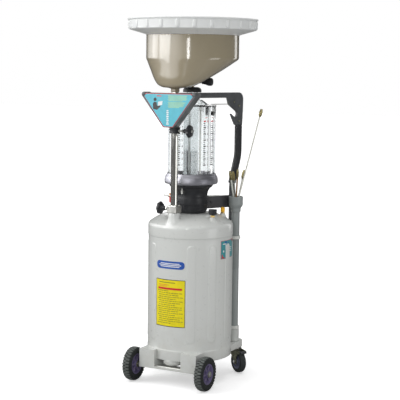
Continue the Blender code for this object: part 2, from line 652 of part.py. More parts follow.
centre = Vector((PROBE_X, PROBE_Y, 0))
start = centre + FAN * 9.6 + ACROSS * (-5.2) + Vector((0, 0, 300))
mouth = centre + FAN * 9.8 + ACROSS * (-5.5) + Vector((0, 0, 805))
end = centre + FAN * 110.0 + ACROSS * (-14.0) + Vector((0, 0, 1224))
line = rounded([start, mouth, end], 300.0, 4)
last = (end - line[-2]).normalized()
stations = line[:-1] + [end - last * 40.0, end - last * 32.0, end - last * 31.0, end - last * 1.0, end]
sizes = [2.4] * len(line) + [5.5, 6.5, 6.5, 5.5]
sweep("probe_long", stations, sizes, NYLON, 0.0, 12, start)

# ---------------------------------------------------------------- riser, clamps and knobs
turned("riser_tube",
       [(RISER_BORE, RISER_HIGH), (RISER_R, RISER_HIGH), (RISER_R, RISER_LOW), (RISER_BORE, RISER_LOW)],
       CHROME, (0, RISER_Y, 0), steps=24)

block = box("riser_clamp", (48, 48, 31), (0, RISER_Y, 787), CHROME)
soften(block, 1.5)
cut(block, helper_rod("clamp_bore", RISER_R + GAP, (0, RISER_Y, 760), (0, RISER_Y, 810), 32))
cut(block, helper_rod("clamp_thread", 4 + GAP, (-40, RISER_Y, 787), (-10, RISER_Y, 787), 16))

collar = turned("riser_collar",
                [(RISER_R + GAP, 1145), (22, 1145), (23.5, 1143), (23.5, 1123), (22, 1121),
                 (RISER_R + GAP, 1121)],
                BLACK, (0, RISER_Y, 0), steps=20)
cut(collar, helper_rod("collar_thread", 4 + GAP, (10, RISER_Y, 1133), (40, RISER_Y, 1133), 16))


def star(radius, depth, z, lobes=7, samples=4):
    ring = []
    for i in range(lobes * samples):
        a = 2.0 * math.pi * i / (lobes * samples)
        r = radius - depth / 2.0 + depth / 2.0 * math.cos(lobes * a)
        ring.append((r * math.cos(a), r * math.sin(a), z))
    return ring


def knob(name, location, rotation, neck_start):
    """Star knob on a threaded stud; local Z is the stud's axis, pointing away from the pipe."""
    body = loft(name, [star(10, 0, neck_start), star(11, 0, neck_start + 8), star(13, 1, neck_start + 14),
                       star(25, 5, neck_start + 17), star(29, 8, neck_start + 22),
                       star(29, 8, neck_start + 30),
                       star(25, 6, neck_start + 35), star(10, 0, neck_start + 37)],
                BLACK, location, rotation)
    # the stud stops just short of the pipe
    stud = turned(name + "_stud", [(0, neck_start + 3), (4, neck_start + 3), (4, RISER_R + 1.0),
                                   (0, RISER_R + 1.0)],
                  None, location, rotation, 14, cutters)
    join(body, stud)
    return body


knob("lower_knob", (0, RISER_Y, 787), (0, -math.pi / 2, 0), 44.0)
knob("upper_knob", (0, RISER_Y, 1133), (0, math.pi / 2, 0), 48.0)

# ---------------------------------------------------------------- tool tray
# a tapered box in front of the riser, a little to its left, carried by a guide tube around the riser
TRAY_X = -9.0
TRAY_FRONT = RISER_Y - 43.0
TRAY_BACK = RISER_Y + 7.0
TRAY_LOW = 1147.0
TRAY_TOP = 1296.0
TRAY_HALF_LOW = 25.0
TRAY_HALF_TOP = 134.0
TRAY_WALL = 3.0
LUG_R = 9.0
LUG_SPREAD = 25.0             # degrees that each round corner turns past level before the side starts
ROOM_TOP = 1275.0             # the room's sides stand straight above this, which leaves the lugs solid


def tray_outline():
    """Tapered tray seen from the front: rounded upper corners, narrow bottom."""
    pts = [(TRAY_X - TRAY_HALF_LOW, TRAY_LOW), (TRAY_X + TRAY_HALF_LOW, TRAY_LOW)]
    for side, first in ((1, -LUG_SPREAD), (-1, 90.0)):
        for i in range(5):
            a = math.radians(first + (90.0 + LUG_SPREAD) * i / 4)
            pts.append((TRAY_X + side * (TRAY_HALF_TOP - LUG_R) + LUG_R * math.cos(a),
                        TRAY_TOP - LUG_R + LUG_R * math.sin(a)))
    return pts


spread = math.radians(LUG_SPREAD)
tray_lean = math.atan2(TRAY_HALF_TOP - LUG_R * (1.0 - math.cos(spread)) - TRAY_HALF_LOW,
                       TRAY_TOP - LUG_R * (1.0 + math.sin(spread)) - TRAY_LOW)


def room_half(z):
    """Half width of the room inside the leaning sides at height z."""
    return TRAY_HALF_LOW - TRAY_WALL / math.cos(tray_lean) + (z - TRAY_LOW) * math.tan(tray_lean)


tray = loft("tool_tray", [[(x, y, z) for x, z in tray_outline()] for y in (TRAY_FRONT, TRAY_BACK)], DARK)
floor_z = TRAY_LOW + TRAY_WALL
room = [(TRAY_X - room_half(floor_z), floor_z), (TRAY_X + room_half(floor_z), floor_z),
        (TRAY_X + room_half(ROOM_TOP), ROOM_TOP), (TRAY_X + room_half(ROOM_TOP), TRAY_TOP + 30),
        (TRAY_X - room_half(ROOM_TOP), TRAY_TOP + 30), (TRAY_X - room_half(ROOM_TOP), ROOM_TOP)]
cut(tray, loft("tray_hollow", [[(x, y, z) for x, z in room] for y in (TRAY_FRONT + 2.5, TRAY_BACK - 2.5)],
               collection=cutters))
# the back wall is cut down behind the bowl's outlet
cut(tray, helper_rod("tray_notch", GUIDE_R + 2.0, (0, RISER_Y, OUTLET_LOW - 4.0), (0, RISER_Y, 1350), 32))
join(tray, helper_rod("tray_guide", GUIDE_R, (0, RISER_Y, TRAY_LOW - 1), (0, RISER_Y, OUTLET_LOW - 3.0), 32))
cut(tray, helper_rod("tray_bore", RISER_R + GAP, (0, RISER_Y, 1100), (0, RISER_Y, 1350), 32))

# ---------------------------------------------------------------- bowl, strainer and splash ring
BOWL_STEPS = 36


# oval sections of the bowl below its edge: height, centre y, half width, half depth, wall offsets (down, in)
BOWL_SECTIONS = (
    (BOWL_EDGE, 0.0, BOWL_R, BOWL_R, 1.0, 3.0),
    (1441.0, -3.0, 204.0, 203.5, 1.2, 3.0),
    (1400.0, -51.0, 165.0, 155.5, 1.8, 2.6),
    (1354.0, -112.0, 120.0, 94.5, 2.0, 2.6),
    (1330.0, -143.0, 88.0, 62.0, 3.0, 3.0),
    (1320.5, -150.0, 61.0, 46.0, 3.2, 2.5),
)


def oval(half_x, half_y, z, count, cy):
    step = 2.0 * math.pi / count
    return [(half_x * math.cos(i * step), cy + half_y * math.sin(i * step), z) for i in range(count)]


outside = [circle(BOWL_R - 1.0, BOWL_TOP, BOWL_STEPS), circle(BOWL_R, BOWL_TOP - 1.0, BOWL_STEPS)]
inside = [circle(BOWL_R - BOWL_WALL, BOWL_TOP, BOWL_STEPS)]
for height, cy, half_x, half_y, down, inset in BOWL_SECTIONS:
    outside.append(oval(half_x, half_y, height, BOWL_STEPS, cy))
    inside.append(oval(half_x - inset, half_y - inset, height + down, BOWL_STEPS, cy))
outside += [circle(17.5, BOWL_LOW, BOWL_STEPS, 0.0, RISER_Y),
            circle(17.5, OUTLET_LOW, BOWL_STEPS, 0.0, RISER_Y)]
inside += [circle(RISER_R + GAP, BOWL_LOW + 3.0, BOWL_STEPS, 0.0, RISER_Y),
           circle(RISER_R + GAP, OUTLET_LOW, BOWL_STEPS, 0.0, RISER_Y)]
loft("catch_bowl", outside + inside[::-1], BEIGE, (0, RISER_Y, 0), closed=True)
bowl = bpy.data.objects["catch_bowl"]
bowl.data.transform(Matrix.Translation((0, -RISER_Y * MM, 0)))

turned("splash_ring",
       [(RING_R - 3.0, RING_TOP), (RING_R, RING_TOP), (RING_R, RING_TOP - 5), (RING_R - 2.0, RING_TOP - 6),
        (RING_CORNER_R, RING_CORNER + 3), (RING_CORNER_R - 3, RING_CORNER), (BOWL_R + 3, BOWL_TOP + 3),
        (BOWL_R, BOWL_TOP + GAP), (BOWL_R - BOWL_WALL - 2.0, BOWL_TOP + GAP),
        (BOWL_R - BOWL_WALL - 2.0, BOWL_TOP - 12), (BOWL_R - BOWL_WALL - 4.5, BOWL_TOP - 12),
        (BOWL_R - BOWL_WALL - 4.5, BOWL_TOP + 4), (RING_CORNER_R - 5, RING_CORNER + 3.5),
        (RING_CORNER_R - 2.6, RING_CORNER + 6)],
       RING_WHITE, steps=40)

STRAINER_Y = -111.6
mesh_plate = loft("strainer", [oval(115.8, 90.3, 0, BOWL_STEPS, 0), oval(116.0, 90.5, 2.0, BOWL_STEPS, 0)],
                  STEEL, (0, STRAINER_Y, 1356.6))
holes = []
for reach_x, reach_y, count in ((46.0, 30.0, 6), (88.0, 66.0, 10)):
    for i in range(count):
        a = 2.0 * math.pi * i / count + 0.13 + reach_x * 0.003
        holes.append((reach_x * math.cos(a), STRAINER_Y + reach_y * math.sin(a)))
for index, (x, y) in enumerate(holes):
    cut(mesh_plate, helper_rod("strainer_hole_%02d" % index, 11.0, (x, y, 1350), (x, y, 1365), 6))

# ---------------------------------------------------------------- gauge and relief valve on the dome
gx, gy, gz = PORTS[0]
turned("gauge_stem", [(0, gz + 10), (5, gz + 10), (8, gz + 9), (8, gz + GAP), (4, gz + GAP),
                      (4, gz - 14), (0, gz - 14)],
       BRASS, (gx, gy, 0), steps=12)
turned("gauge_case",
       [(16.5, gz + 35), (18.5, gz + 35), (19, gz + 34), (19, gz + 14), (17, gz + 12), (10, gz + 10 + GAP),
        (0, gz + 10 + GAP), (0, gz + 29), (16.5, gz + 29)],
       BLACK, (gx, gy, 0), steps=20)
needle = box("gauge_needle", (15, 1.6, 0.8), (gx, gy, gz + 31), RED)
needle.data.transform(Matrix.Translation((0.004, 0, 0)))
join(needle, helper_rod("needle_hub", 2.4, (gx, gy, gz + 29.5), (gx, gy, gz + 32.5), 12))

rx, ry, rz = PORTS[1]
turned("relief_valve", [(0, rz + 18), (3, rz + 18), (3, rz + 6), (7, rz + 5.5), (9, rz + 4.5), (9, rz + GAP),
                        (4, rz + GAP), (4, rz - 14), (0, rz - 14)],
       BRASS, (rx, ry, 0), steps=12)
turned("relief_cap", [(0, rz + 28), (6, rz + 28), (9.5, rz + 24), (10, rz + 20), (10, rz + 6.5),
                      (3 + GAP, rz + 6.5),
                      (3 + GAP, rz + 18.5), (0, rz + 18.5)],
       YELLOW, (rx, ry, 0), steps=20)
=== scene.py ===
from math import atan2, cos, degrees, dist, hypot, pi, radians, sin, sqrt, tan

import bmesh
import bpy
from mathutils import Matrix, Vector


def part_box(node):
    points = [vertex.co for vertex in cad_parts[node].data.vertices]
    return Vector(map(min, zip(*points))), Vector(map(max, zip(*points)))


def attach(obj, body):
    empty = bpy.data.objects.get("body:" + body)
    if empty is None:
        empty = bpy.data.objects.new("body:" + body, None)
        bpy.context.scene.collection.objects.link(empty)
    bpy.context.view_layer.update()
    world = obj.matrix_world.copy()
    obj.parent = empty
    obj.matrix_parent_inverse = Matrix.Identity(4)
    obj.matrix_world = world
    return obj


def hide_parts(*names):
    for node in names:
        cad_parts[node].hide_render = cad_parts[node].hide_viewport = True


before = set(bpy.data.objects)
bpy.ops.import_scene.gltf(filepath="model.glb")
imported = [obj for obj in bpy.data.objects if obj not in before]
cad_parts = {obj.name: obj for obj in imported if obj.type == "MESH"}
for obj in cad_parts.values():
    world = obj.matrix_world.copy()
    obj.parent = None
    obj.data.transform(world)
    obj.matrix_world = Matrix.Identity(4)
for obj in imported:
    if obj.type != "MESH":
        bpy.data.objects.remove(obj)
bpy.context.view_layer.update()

MM = 0.001


# ---------------------------------------------------------------- materials
class Nodes:
    """Short ways to make and wire shader nodes."""

    def __init__(self, tree, shader):
        self.tree = tree
        self.shader = shader

    def put(self, socket, value, node=None):
        target = (node or self.shader).inputs[socket]
        if isinstance(value, bpy.types.NodeSocket):
            self.tree.links.new(value, target)
        else:
            target.default_value = value

    def node(self, kind, inputs=(), **settings):
        made = self.tree.nodes.new("ShaderNode" + kind)
        for key, value in settings.items():
            setattr(made, key, value)
        for socket, value in dict(inputs).items():
            self.put(socket, value, made)
        return made

    def span(self, value, low, high, out_low, out_high, **settings):
        numbers = {"Value": value, "From Min": low, "From Max": high, "To Min": out_low, "To Max": out_high}
        return self.node("MapRange", numbers, **settings).outputs["Result"]

    def math(self, operation, *values):
        return self.node("Math", enumerate(values), operation=operation).outputs[0]

    def vector(self, operation, *values, output="Vector"):
        return self.node("VectorMath", enumerate(values), operation=operation).outputs[output]

    def by_ray(self, ray, plain, special):
        """A number that is one thing for most rays and another for one kind of ray."""
        return self.node("Mix", {0: self.node("LightPath").outputs[ray], 2: plain, 3: special}).outputs[0]

    def seen_and_lit(self, lit, output):
        """Show the main shader to the eye and light the object with another, as a bright studio sweep does."""
        ray = self.node("LightPath").outputs
        eye = self.math("MAXIMUM", ray["Is Camera Ray"], ray["Is Transmission Ray"])
        mixed = self.node("MixShader", {0: eye, 1: lit.outputs[0], 2: self.shader.outputs[0]})
        self.put("Surface", mixed.outputs[0], self.tree.nodes[output])


class Look(Nodes):
    """A procedural material: one Principled shader with patterns in the object's own space."""

    def __init__(self, name, base, metallic=0.0, roughness=0.4, **sockets):
        self.mat = bpy.data.materials.new(name)
        self.mat.use_nodes = True
        super().__init__(self.mat.node_tree, self.mat.node_tree.nodes["Principled BSDF"])
        self.slot = None
        self.space = self.node("TexCoord").outputs["Object"]
        self.colour = (*base, 1.0)
        self.put("Base Color", self.colour)
        self.put("Metallic", metallic)
        self.put("Roughness", roughness)
        for key, value in sockets.items():
            self.put(key.replace("_", " ").title().replace("Ior", "IOR"), value)

    def where(self, stretch):
        if stretch is None:
            return self.space
        return self.node("Mapping", {"Vector": self.space, "Scale": stretch}).outputs["Vector"]

    def noise(self, scale, detail=2.0, stretch=None):
        return self.node("TexNoise", {"Vector": self.where(stretch), "Scale": scale, "Detail": detail,
            "Roughness": 0.5}).outputs["Fac"]

    def edges(self, low=0.52, high=0.60):
        return self.span(self.node("NewGeometry").outputs["Pointiness"], low, high, 0.0, 1.0)

    def tint(self, factor, color):
        """Lay a colour over what is there by a factor."""
        mix = self.node("Mix", {0: factor, 6: self.colour, 7: (*color, 1.0)}, data_type="RGBA")
        self.colour = mix.outputs[2]
        self.put("Base Color", self.colour)

    def mottle(self, scale, detail, low, high, color, stretch=None):
        self.tint(self.span(self.noise(scale, detail, stretch), low, high, 0.0, 1.0), color)

    def gloss(self, pattern, rough, low=0.3, high=0.7):
        self.put("Roughness", self.span(pattern, low, high, *rough))

    def relief(self, *layers):
        """Stack bumps: each layer is (height socket, depth in mm)."""
        normal = {}
        for height, depth in layers:
            bump = self.node("Bump", {"Strength": 1.0, "Distance": depth * MM, "Height": height, **normal})
            normal = {"Normal": bump.outputs["Normal"]}
        self.put("Normal", normal["Normal"])
        return self


def shade(color, factor):
    return tuple(min(1.0, channel * factor) for channel in color)


def moulded(name, color, grain=0.05, rough=(0.36, 0.5), wear=None, scale=420.0, drift=1.35, **sockets):
    """Moulded plastic: fine pebble grain, a mottled tone and scuffed edges."""
    look = Look(name, color, 0.0, rough[0], **sockets)
    look.mottle(14.0, 4.0, 0.4, 0.75, shade(color, drift))
    if wear:
        look.tint(look.edges(), wear)
    look.gloss(look.noise(30.0, 4.0), rough)
    cells = look.node("TexVoronoi", {"Vector": look.space, "Scale": scale}, feature="F1").outputs["Distance"]
    return look.relief((cells, grain), (look.noise(60.0, 2.0), grain))


def metal(name, color, rough=(0.1, 0.2), streak=(1.0, 1.0, 1.0), tarnish=None, depth=0.01, scale=120.0):
    """Bare or plated metal: directional polish marks, smudges and slight tarnish."""
    look = Look(name, color, 1.0, rough[0])
    look.mottle(18.0, 5.0, 0.45, 0.8, tarnish or shade(color, 0.75))
    look.tint(look.edges(), shade(color, 1.15))
    marks = look.noise(scale, 4.0, streak)
    look.gloss(marks, rough)
    return look.relief((marks, depth))


def rubber(name, color):
    look = Look(name, color, 0.0, 0.75, specular_ior_level=0.35)
    look.mottle(35.0, 5.0, 0.42, 0.75, shade(color, 1.5))
    look.tint(look.edges(0.53, 0.62), shade(color, 2.1))
    # painted shade: the rubber is darker in its creases and hollows
    look.tint(look.edges(0.46, 0.38), shade(color, 0.45))
    look.gloss(look.noise(55.0, 3.0), (0.6, 0.85))
    return look.relief((look.noise(500.0, 3.0), 0.08))


def extruded(name, color, rough=(0.3, 0.46)):
    """Pipe polymer with faint draw lines along its length, and painted shade in its creases and hollows."""
    look = Look(name, color, 0.0, 0.4)
    look.mottle(11.0, 4.0, 0.35, 0.75, shade(color, 1.22), (1.0, 1.0, 0.3))
    # painted shade: the pipe is darker in its creases and hollows
    look.tint(look.edges(0.47, 0.40), shade(color, 0.55))
    lines = look.noise(170.0, 2.0, (1.0, 1.0, 0.02))
    look.gloss(lines, rough)
    return look.relief((lines, 0.04))


def clear(name, color, rough=(0.015, 0.07), ripple=0.04, transmission_weight=1.0):
    """Clear or milky polymer: slight haze, smudges and moulding ripple."""
    look = Look(name, color, 0.0, rough[0], transmission_weight=transmission_weight, ior=1.47)
    look.mottle(25.0, 4.0, 0.5, 0.85, shade(color, 0.93))
    look.gloss(look.noise(16.0, 4.0), rough, 0.4, 0.75)
    return look.relief((look.noise(30.0, 2.0, (1.0, 1.0, 0.2)), ripple))


def printed(name, color, rough=(0.28, 0.42)):
    """Printed film: even ink with slight mottling and a satin laminate."""
    look = Look(name, color, 0.0, 0.32, coat_weight=0.3, coat_roughness=0.12)
    look.mottle(40.0, 4.0, 0.4, 0.8, shade(color, 0.86))
    look.gloss(look.noise(25.0, 3.0), rough)
    return look.relief((look.noise(90.0, 2.0), 0.02))


# sprayed gloss paint: orange peel, slow tone drift, dust that gathers low down
PAINT = (0.625, 0.64, 0.62)
DUST = (PAINT[0] * 0.74, PAINT[1] * 0.70, PAINT[2] * 0.62)
paint = Look("tank paint", PAINT, 0.0, 0.28, coat_weight=0.5, coat_roughness=0.12)
paint.mottle(1.6, 0.0, 0.2, 0.8, shade(PAINT, 0.985))
height = paint.node("SeparateXYZ", {"Vector": paint.space}).outputs["Z"]
paint.tint(paint.math("MULTIPLY", paint.span(height, 0.10, 0.34, 0.35, 0.0), paint.span(paint.noise(22.0, 4.0), 0.4,
    0.75, 0.15, 1.0)), DUST)
paint.gloss(paint.noise(60.0, 2.0), (0.27, 0.31))
paint.relief((paint.noise(230.0, 1.0), 0.012))
enamel = Look("beige enamel", (0.335, 0.29, 0.20), 0.0, 0.2, coat_weight=1.0, coat_roughness=0.03,
    specular_ior_level=0.6)
enamel.mottle(3.0, 3.0, 0.35, 0.7, (0.31, 0.268, 0.188))
enamel.gloss(enamel.noise(12.0, 4.0), (0.12, 0.22))
enamel.relief((enamel.noise(150.0, 1.0), 0.012), (enamel.noise(6.0, 0.0), 0.10))
ring_white = moulded("splash ring polymer", (0.74, 0.755, 0.75), 0.008, (0.34, 0.44), None, 300.0, 0.97,
    subsurface_weight=0.05, subsurface_radius=(0.006, 0.006, 0.005))
clamp_white = moulded("pipe clamp polymer", (0.66, 0.67, 0.64), 0.03, (0.35, 0.5), None, 420.0, 0.95)
chrome = metal("chrome plate", (0.90, 0.89, 0.83), (0.05, 0.13), (1.0, 1.0, 0.15), (0.68, 0.665, 0.58), 0.004)
zinc = metal("zinc plated steel", (0.60, 0.60, 0.57), (0.26, 0.42), (1.0, 1.0, 0.3), (0.42, 0.41, 0.36), 0.02)
yellow_zinc = metal("passivated steel", (0.30, 0.30, 0.21), (0.30, 0.48), (1.0, 1.0, 0.6), (0.20, 0.21, 0.16), 0.02,
    60.0)
aluminium = metal("cast aluminium", (0.50, 0.50, 0.545), (0.44, 0.54), (1.0, 1.0, 6.0), (0.38, 0.38, 0.43), 0.02,
    50.0)
brass = metal("turned brass", (0.62, 0.46, 0.20), (0.2, 0.36), (1.0, 1.0, 5.0), (0.36, 0.26, 0.11), 0.015)
tip_brass = metal("probe end brass", (0.36, 0.31, 0.15), (0.28, 0.42), (4.0, 4.0, 1.0), (0.14, 0.12, 0.05), 0.02)
black = moulded("black polymer", (0.017, 0.018, 0.021), 0.05, (0.34, 0.48), (0.05, 0.05, 0.055))
grip_rubber = moulded("grip sleeve rubber", (0.020, 0.021, 0.024), 0.06, (0.42, 0.58), (0.05, 0.05, 0.052), 300.0)
slate = moulded("slate powder coat", (0.068, 0.072, 0.077), 0.07, (0.38, 0.5), (0.11, 0.115, 0.12), 500.0)
hub_plum = moulded("wheel hub polymer", (0.098, 0.082, 0.165), 0.04, (0.36, 0.5), (0.2, 0.17, 0.26))
hub_slate = moulded("caster hub polymer", (0.085, 0.09, 0.145), 0.04, (0.38, 0.52), (0.15, 0.16, 0.22))
yellow_cap = moulded("yellow cap polymer", (0.85, 0.43, 0.015), 0.02, (0.3, 0.4), (0.9, 0.55, 0.1))
red_dip = moulded("red dipped grip", (0.52, 0.022, 0.018), 0.03, (0.3, 0.42), (0.6, 0.06, 0.05))
tyre_grey = rubber("tyre rubber", (0.090, 0.099, 0.094))
# painted shade darkens the grooves between the blocks, most at the groove floor; the two front wheels share one
# axle line
AXLE_LINE = (0.0, -0.1865, 0.076)
GROOVE_FLOOR, BLOCK_TOP = 0.0715, 0.0740
spokewise = tyre_grey.vector("MULTIPLY", tyre_grey.vector("SUBTRACT", tyre_grey.space, AXLE_LINE), (0.0, 1.0, 1.0))
radius = tyre_grey.vector("LENGTH", spokewise, output="Value")
# painted shade: near black from the groove floor up to the block tops
tyre_grey.tint(tyre_grey.span(radius, GROOVE_FLOOR, BLOCK_TOP, 1.0, 0.0), (0.022, 0.025, 0.024))
tyre_black = rubber("caster tyre rubber", (0.034, 0.038, 0.038))
pipe_grey = extruded("grey pipe polymer", (0.25, 0.272, 0.27))
pipe_light = extruded("light pipe polymer", (0.46, 0.475, 0.455))
acrylic = clear("clear acrylic", (0.81, 0.83, 0.835))
lens = clear("gauge lens", (0.97, 0.98, 0.98), (0.0, 0.03), 0.01)
probe_tube_clear = clear("clear probe tube", (0.80, 0.82, 0.76), (0.15, 0.3), 0.02, 0.25)
probe_tube_smoke = clear("smoky probe tube", (0.42, 0.43, 0.40), (0.15, 0.3), 0.02, 0.5)
probe_tube_white = clear("milky probe tube", (0.82, 0.83, 0.79), (0.25, 0.4), 0.02, 0.15)
probe_tube_cream = moulded("cream probe tube", (0.80, 0.80, 0.73), 0.01, (0.4, 0.5), None, 420.0, 0.96)
probe_tube_brown = moulded("brown probe tube", (0.20, 0.10, 0.035), 0.02, (0.28, 0.4), (0.3, 0.17, 0.07))
ink_yellow = printed("yellow film", (0.83, 0.71, 0.002))
ink_olive = printed("olive print", (0.22, 0.20, 0.02))
ink_orange = printed("orange print", (0.75, 0.28, 0.02))
ink_black = printed("black print", (0.02, 0.02, 0.02))
ink_red = printed("red print", (0.62, 0.015, 0.02))
ink_blue = printed("blue film", (0.018, 0.085, 0.40))
ink_white = printed("white print", (0.82, 0.84, 0.84))
ink_cyan = printed("cyan film", (0.105, 0.50, 0.62))
ink_mint = printed("mint print", (0.44, 0.68, 0.36))
ink_teal = printed("teal film", (0.055, 0.30, 0.33))
dial_face = printed("dial face", (0.80, 0.80, 0.77), (0.45, 0.6))
for slot, looks in (("painted_steel", (paint,)), ("zinc_steel", (zinc, yellow_zinc)),
        ("black_plastic", (black, grip_rubber, ink_black)), ("dark_paint", (slate, ink_blue, ink_teal, ink_cyan)),
        ("ring_plastic", (ring_white, clamp_white, ink_white, ink_mint, dial_face)), ("red_handle", (ink_red,)),
        ("yellow_cap", (yellow_cap, ink_yellow, ink_olive, ink_orange)), ("aluminium", (aluminium,)),
        ("clear_plastic", (acrylic, lens)), ("brass", (brass,)), ("chrome", (chrome,)), ("beige_enamel", (enamel,)),
        ("grey_pipe", (pipe_grey,)), ("light_pipe", (pipe_light,)), ("tyre_rubber", (tyre_grey, tyre_black)),
        ("hub_plastic", (hub_plum, hub_slate))):
    for look in looks:
        look.slot = slot


# ---------------------------------------------------------------- shape tools
def piece(name, shells, look, body="frame", stands_for=(), crease=34, slot=""):
    """One object from closed shells in millimetres, riding on a body; the slot argument is not used."""
    verts = []
    faces = []
    for points, polygons in shells:
        start = len(verts)
        verts += [(p[0] * MM, p[1] * MM, p[2] * MM) for p in points]
        faces += [[start + i for i in polygon] for polygon in polygons]
    mesh = bpy.data.meshes.new(name)
    mesh.from_pydata(verts, [], faces)
    bm = bmesh.new()
    bm.from_mesh(mesh)
    bmesh.ops.recalc_face_normals(bm, faces=bm.faces)
    bm.to_mesh(mesh)
    bm.free()
    mesh.materials.append(look.mat)
    mesh.shade_smooth()
    mesh.set_sharp_from_angle(angle=radians(crease))
    obj = bpy.data.objects.new(name, mesh)
    bpy.context.scene.collection.objects.link(obj)
    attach(obj, body)
    if stands_for:
        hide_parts(*stands_for)
    if slot == "":
        slot = look.slot
    return obj


def soften(obj, width, segments=2, angle=35):
    bevel = obj.modifiers.new("edge", "BEVEL")
    bevel.width = width * MM
    bevel.segments = segments
    bevel.limit_method = "ANGLE"
    bevel.angle_limit = radians(angle)
    return obj


def dress(node, look, width=0, segments=2, angle=35):
    """Give a CAD node that stays its material and softer edges."""
    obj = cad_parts[node]
    for index in range(len(obj.data.materials)):
        obj.data.materials[index] = look.mat
    if not obj.data.materials:
        obj.data.materials.append(look.mat)
    if width:
        soften(obj, width, segments, angle)


def pose(points, at=(0, 0, 0), aim=(0, 0, 1), spin=0):
    """Turn local points so that local Z follows aim, then move them to at."""
    turn = Matrix.Rotation(spin, 3, "Z")
    if tuple(aim) != (0, 0, 1):
        turn = Vector(aim).to_track_quat("Z", "Y").to_matrix() @ turn
    return [turn @ Vector(p) + Vector(at) for p in points]


def grid(rows, closed=False, caps=True):
    """Skin rows of points, all the same length and each a loop."""
    count = len(rows[0])
    points = [p for row in rows for p in row]
    faces = []
    last = len(rows) if closed else len(rows) - 1
    for k in range(last):
        a = k * count
        b = ((k + 1) % len(rows)) * count
        for i in range(count):
            j = (i + 1) % count
            faces.append((a + i, a + j, b + j, b + i))
    if caps and not closed:
        faces.append(tuple(range(count)))
        faces.append(tuple(range(len(points) - count, len(points))))
    return points, faces


def eased(profile, radius, steps=3, closed=False):
    """Round the corners of a half profile."""
    pts = [Vector(p) for p in profile]
    count = len(pts)
    out = []
    for i, point in enumerate(pts):
        if not closed and i in (0, count - 1):
            out.append(tuple(point))
            continue
        before = pts[i - 1] - point
        after = pts[(i + 1) % count] - point
        reach = min(radius, before.length * 0.45, after.length * 0.45)
        if reach < 0.02 or before.angle(after) > radians(172):
            out.append(tuple(point))
            continue
        a = point + before.normalized() * reach
        b = point + after.normalized() * reach
        for k in range(steps + 1):
            t = k / steps
            out.append(tuple(a * (1 - t) ** 2 + point * 2 * t * (1 - t) + b * t * t))
    return out


def circle(count):
    """Evenly spaced angles all the way round."""
    return [2 * pi * i / count for i in range(count)]


def turned(profile, steps=64, ease=0, at=(0, 0, 0), aim=(0, 0, 1), closed=None, shape=None, angles=None):
    """Turn a half profile (radius, height) round local Z. shape(angle, r, z) may move a point."""
    if closed is None:
        closed = profile[0][0] > 0 and profile[-1][0] > 0
    if ease:
        profile = eased(profile, ease, 3, closed)
    angles = angles or circle(steps)
    count = len(angles)
    points = []
    rows = []
    for r, z in profile:
        rows.append((len(points), r <= 0))
        for angle in ([0] if r <= 0 else angles):
            rr, zz = shape(angle, r, z) if shape and r > 0 else (r, z)
            points.append((rr * cos(angle), rr * sin(angle), zz))
    faces = []
    pairs = list(zip(rows[:-1], rows[1:]))
    if closed:
        pairs.append((rows[-1], rows[0]))
    for (a, a_pole), (b, b_pole) in pairs:
        for i in range(count):
            j = (i + 1) % count
            if a_pole and b_pole:
                break
            if a_pole:
                faces.append((a, b + j, b + i))
            elif b_pole:
                faces.append((a + i, a + j, b))
            else:
                faces.append((a + i, a + j, b + j, b + i))
    return pose(points, at, aim), faces


def slab(outline, low, high, at=(0, 0, 0), aim=(0, 0, 1), spin=0):
    """Extrude a plan outline between two local heights."""
    rows = [[(x, y, low) for x, y in outline], [(x, y, high) for x, y in outline]]
    points, faces = grid(rows)
    return pose(points, at, aim, spin), faces


def block(size, at, turn=0):
    """A box turned about the vertical; soften() rounds its edges."""
    hx, hy, hz = (value / 2 for value in size)
    points = []
    for z in (-hz, hz):
        for x, y in ((-hx, -hy), (hx, -hy), (hx, hy), (-hx, hy)):
            points.append((at[0] + x * cos(turn) - y * sin(turn), at[1] + x * sin(turn) + y * cos(turn), at[2] + z))
    return points, [(0, 3, 2, 1), (4, 5, 6, 7), (0, 1, 5, 4), (1, 2, 6, 5), (2, 3, 7, 6), (3, 0, 4, 7)]


def hexagon(width, low, high, at, aim=(0, 0, 1)):
    """Hex head with a chamfered crown; width is across flats."""
    corner = width / sqrt(3)
    profile = [(0, high), (width * 0.40, high), (corner, high - width * 0.09), (corner, low), (0, low)]
    return turned(profile, 6, 0, at, aim)


def swept(path, radii, sides=24, bore=0):
    """Round bar, or tube when bore is set, along a path."""
    if not isinstance(radii, (list, tuple)):
        radii = [radii] * len(path)
    tangents = [(path[min(i + 1, len(path) - 1)] - path[max(i - 1, 0)]).normalized() for i in range(len(path))]
    side = tangents[0].orthogonal().normalized()
    outer = []
    inner = []
    for point, tangent, radius in zip(path, tangents, radii):
        side = (side - tangent * side.dot(tangent)).normalized()
        up = tangent.cross(side)
        reach = [side * cos(a) + up * sin(a) for a in circle(sides)]
        outer.append([point + r * radius for r in reach])
        inner.append([point + r * bore for r in reach])
    return grid(outer + inner[::-1], True) if bore else grid(outer)


def bent(points, radius, steps=10):
    """Round the corners of a 3-D polyline with arcs of the given radius."""
    pts = [Vector(p) for p in points]
    out = [pts[0]]
    for i in range(1, len(pts) - 1):
        a = (pts[i - 1] - pts[i]).normalized()
        b = (pts[i + 1] - pts[i]).normalized()
        half = a.angle(b) / 2
        centre = pts[i] + (a + b).normalized() * (radius / sin(half))
        first = pts[i] + a * (radius / tan(half)) - centre
        last = pts[i] + b * (radius / tan(half)) - centre
        axis = first.cross(last).normalized()
        total = first.angle(last)
        out += [centre + Matrix.Rotation(total * k / steps, 3, axis) @ first for k in range(steps + 1)]
    out.append(pts[-1])
    return out


def around(angle, radius, z):
    """A point by its angle from the front, positive toward +X."""
    return radius * sin(angle), -radius * cos(angle), z


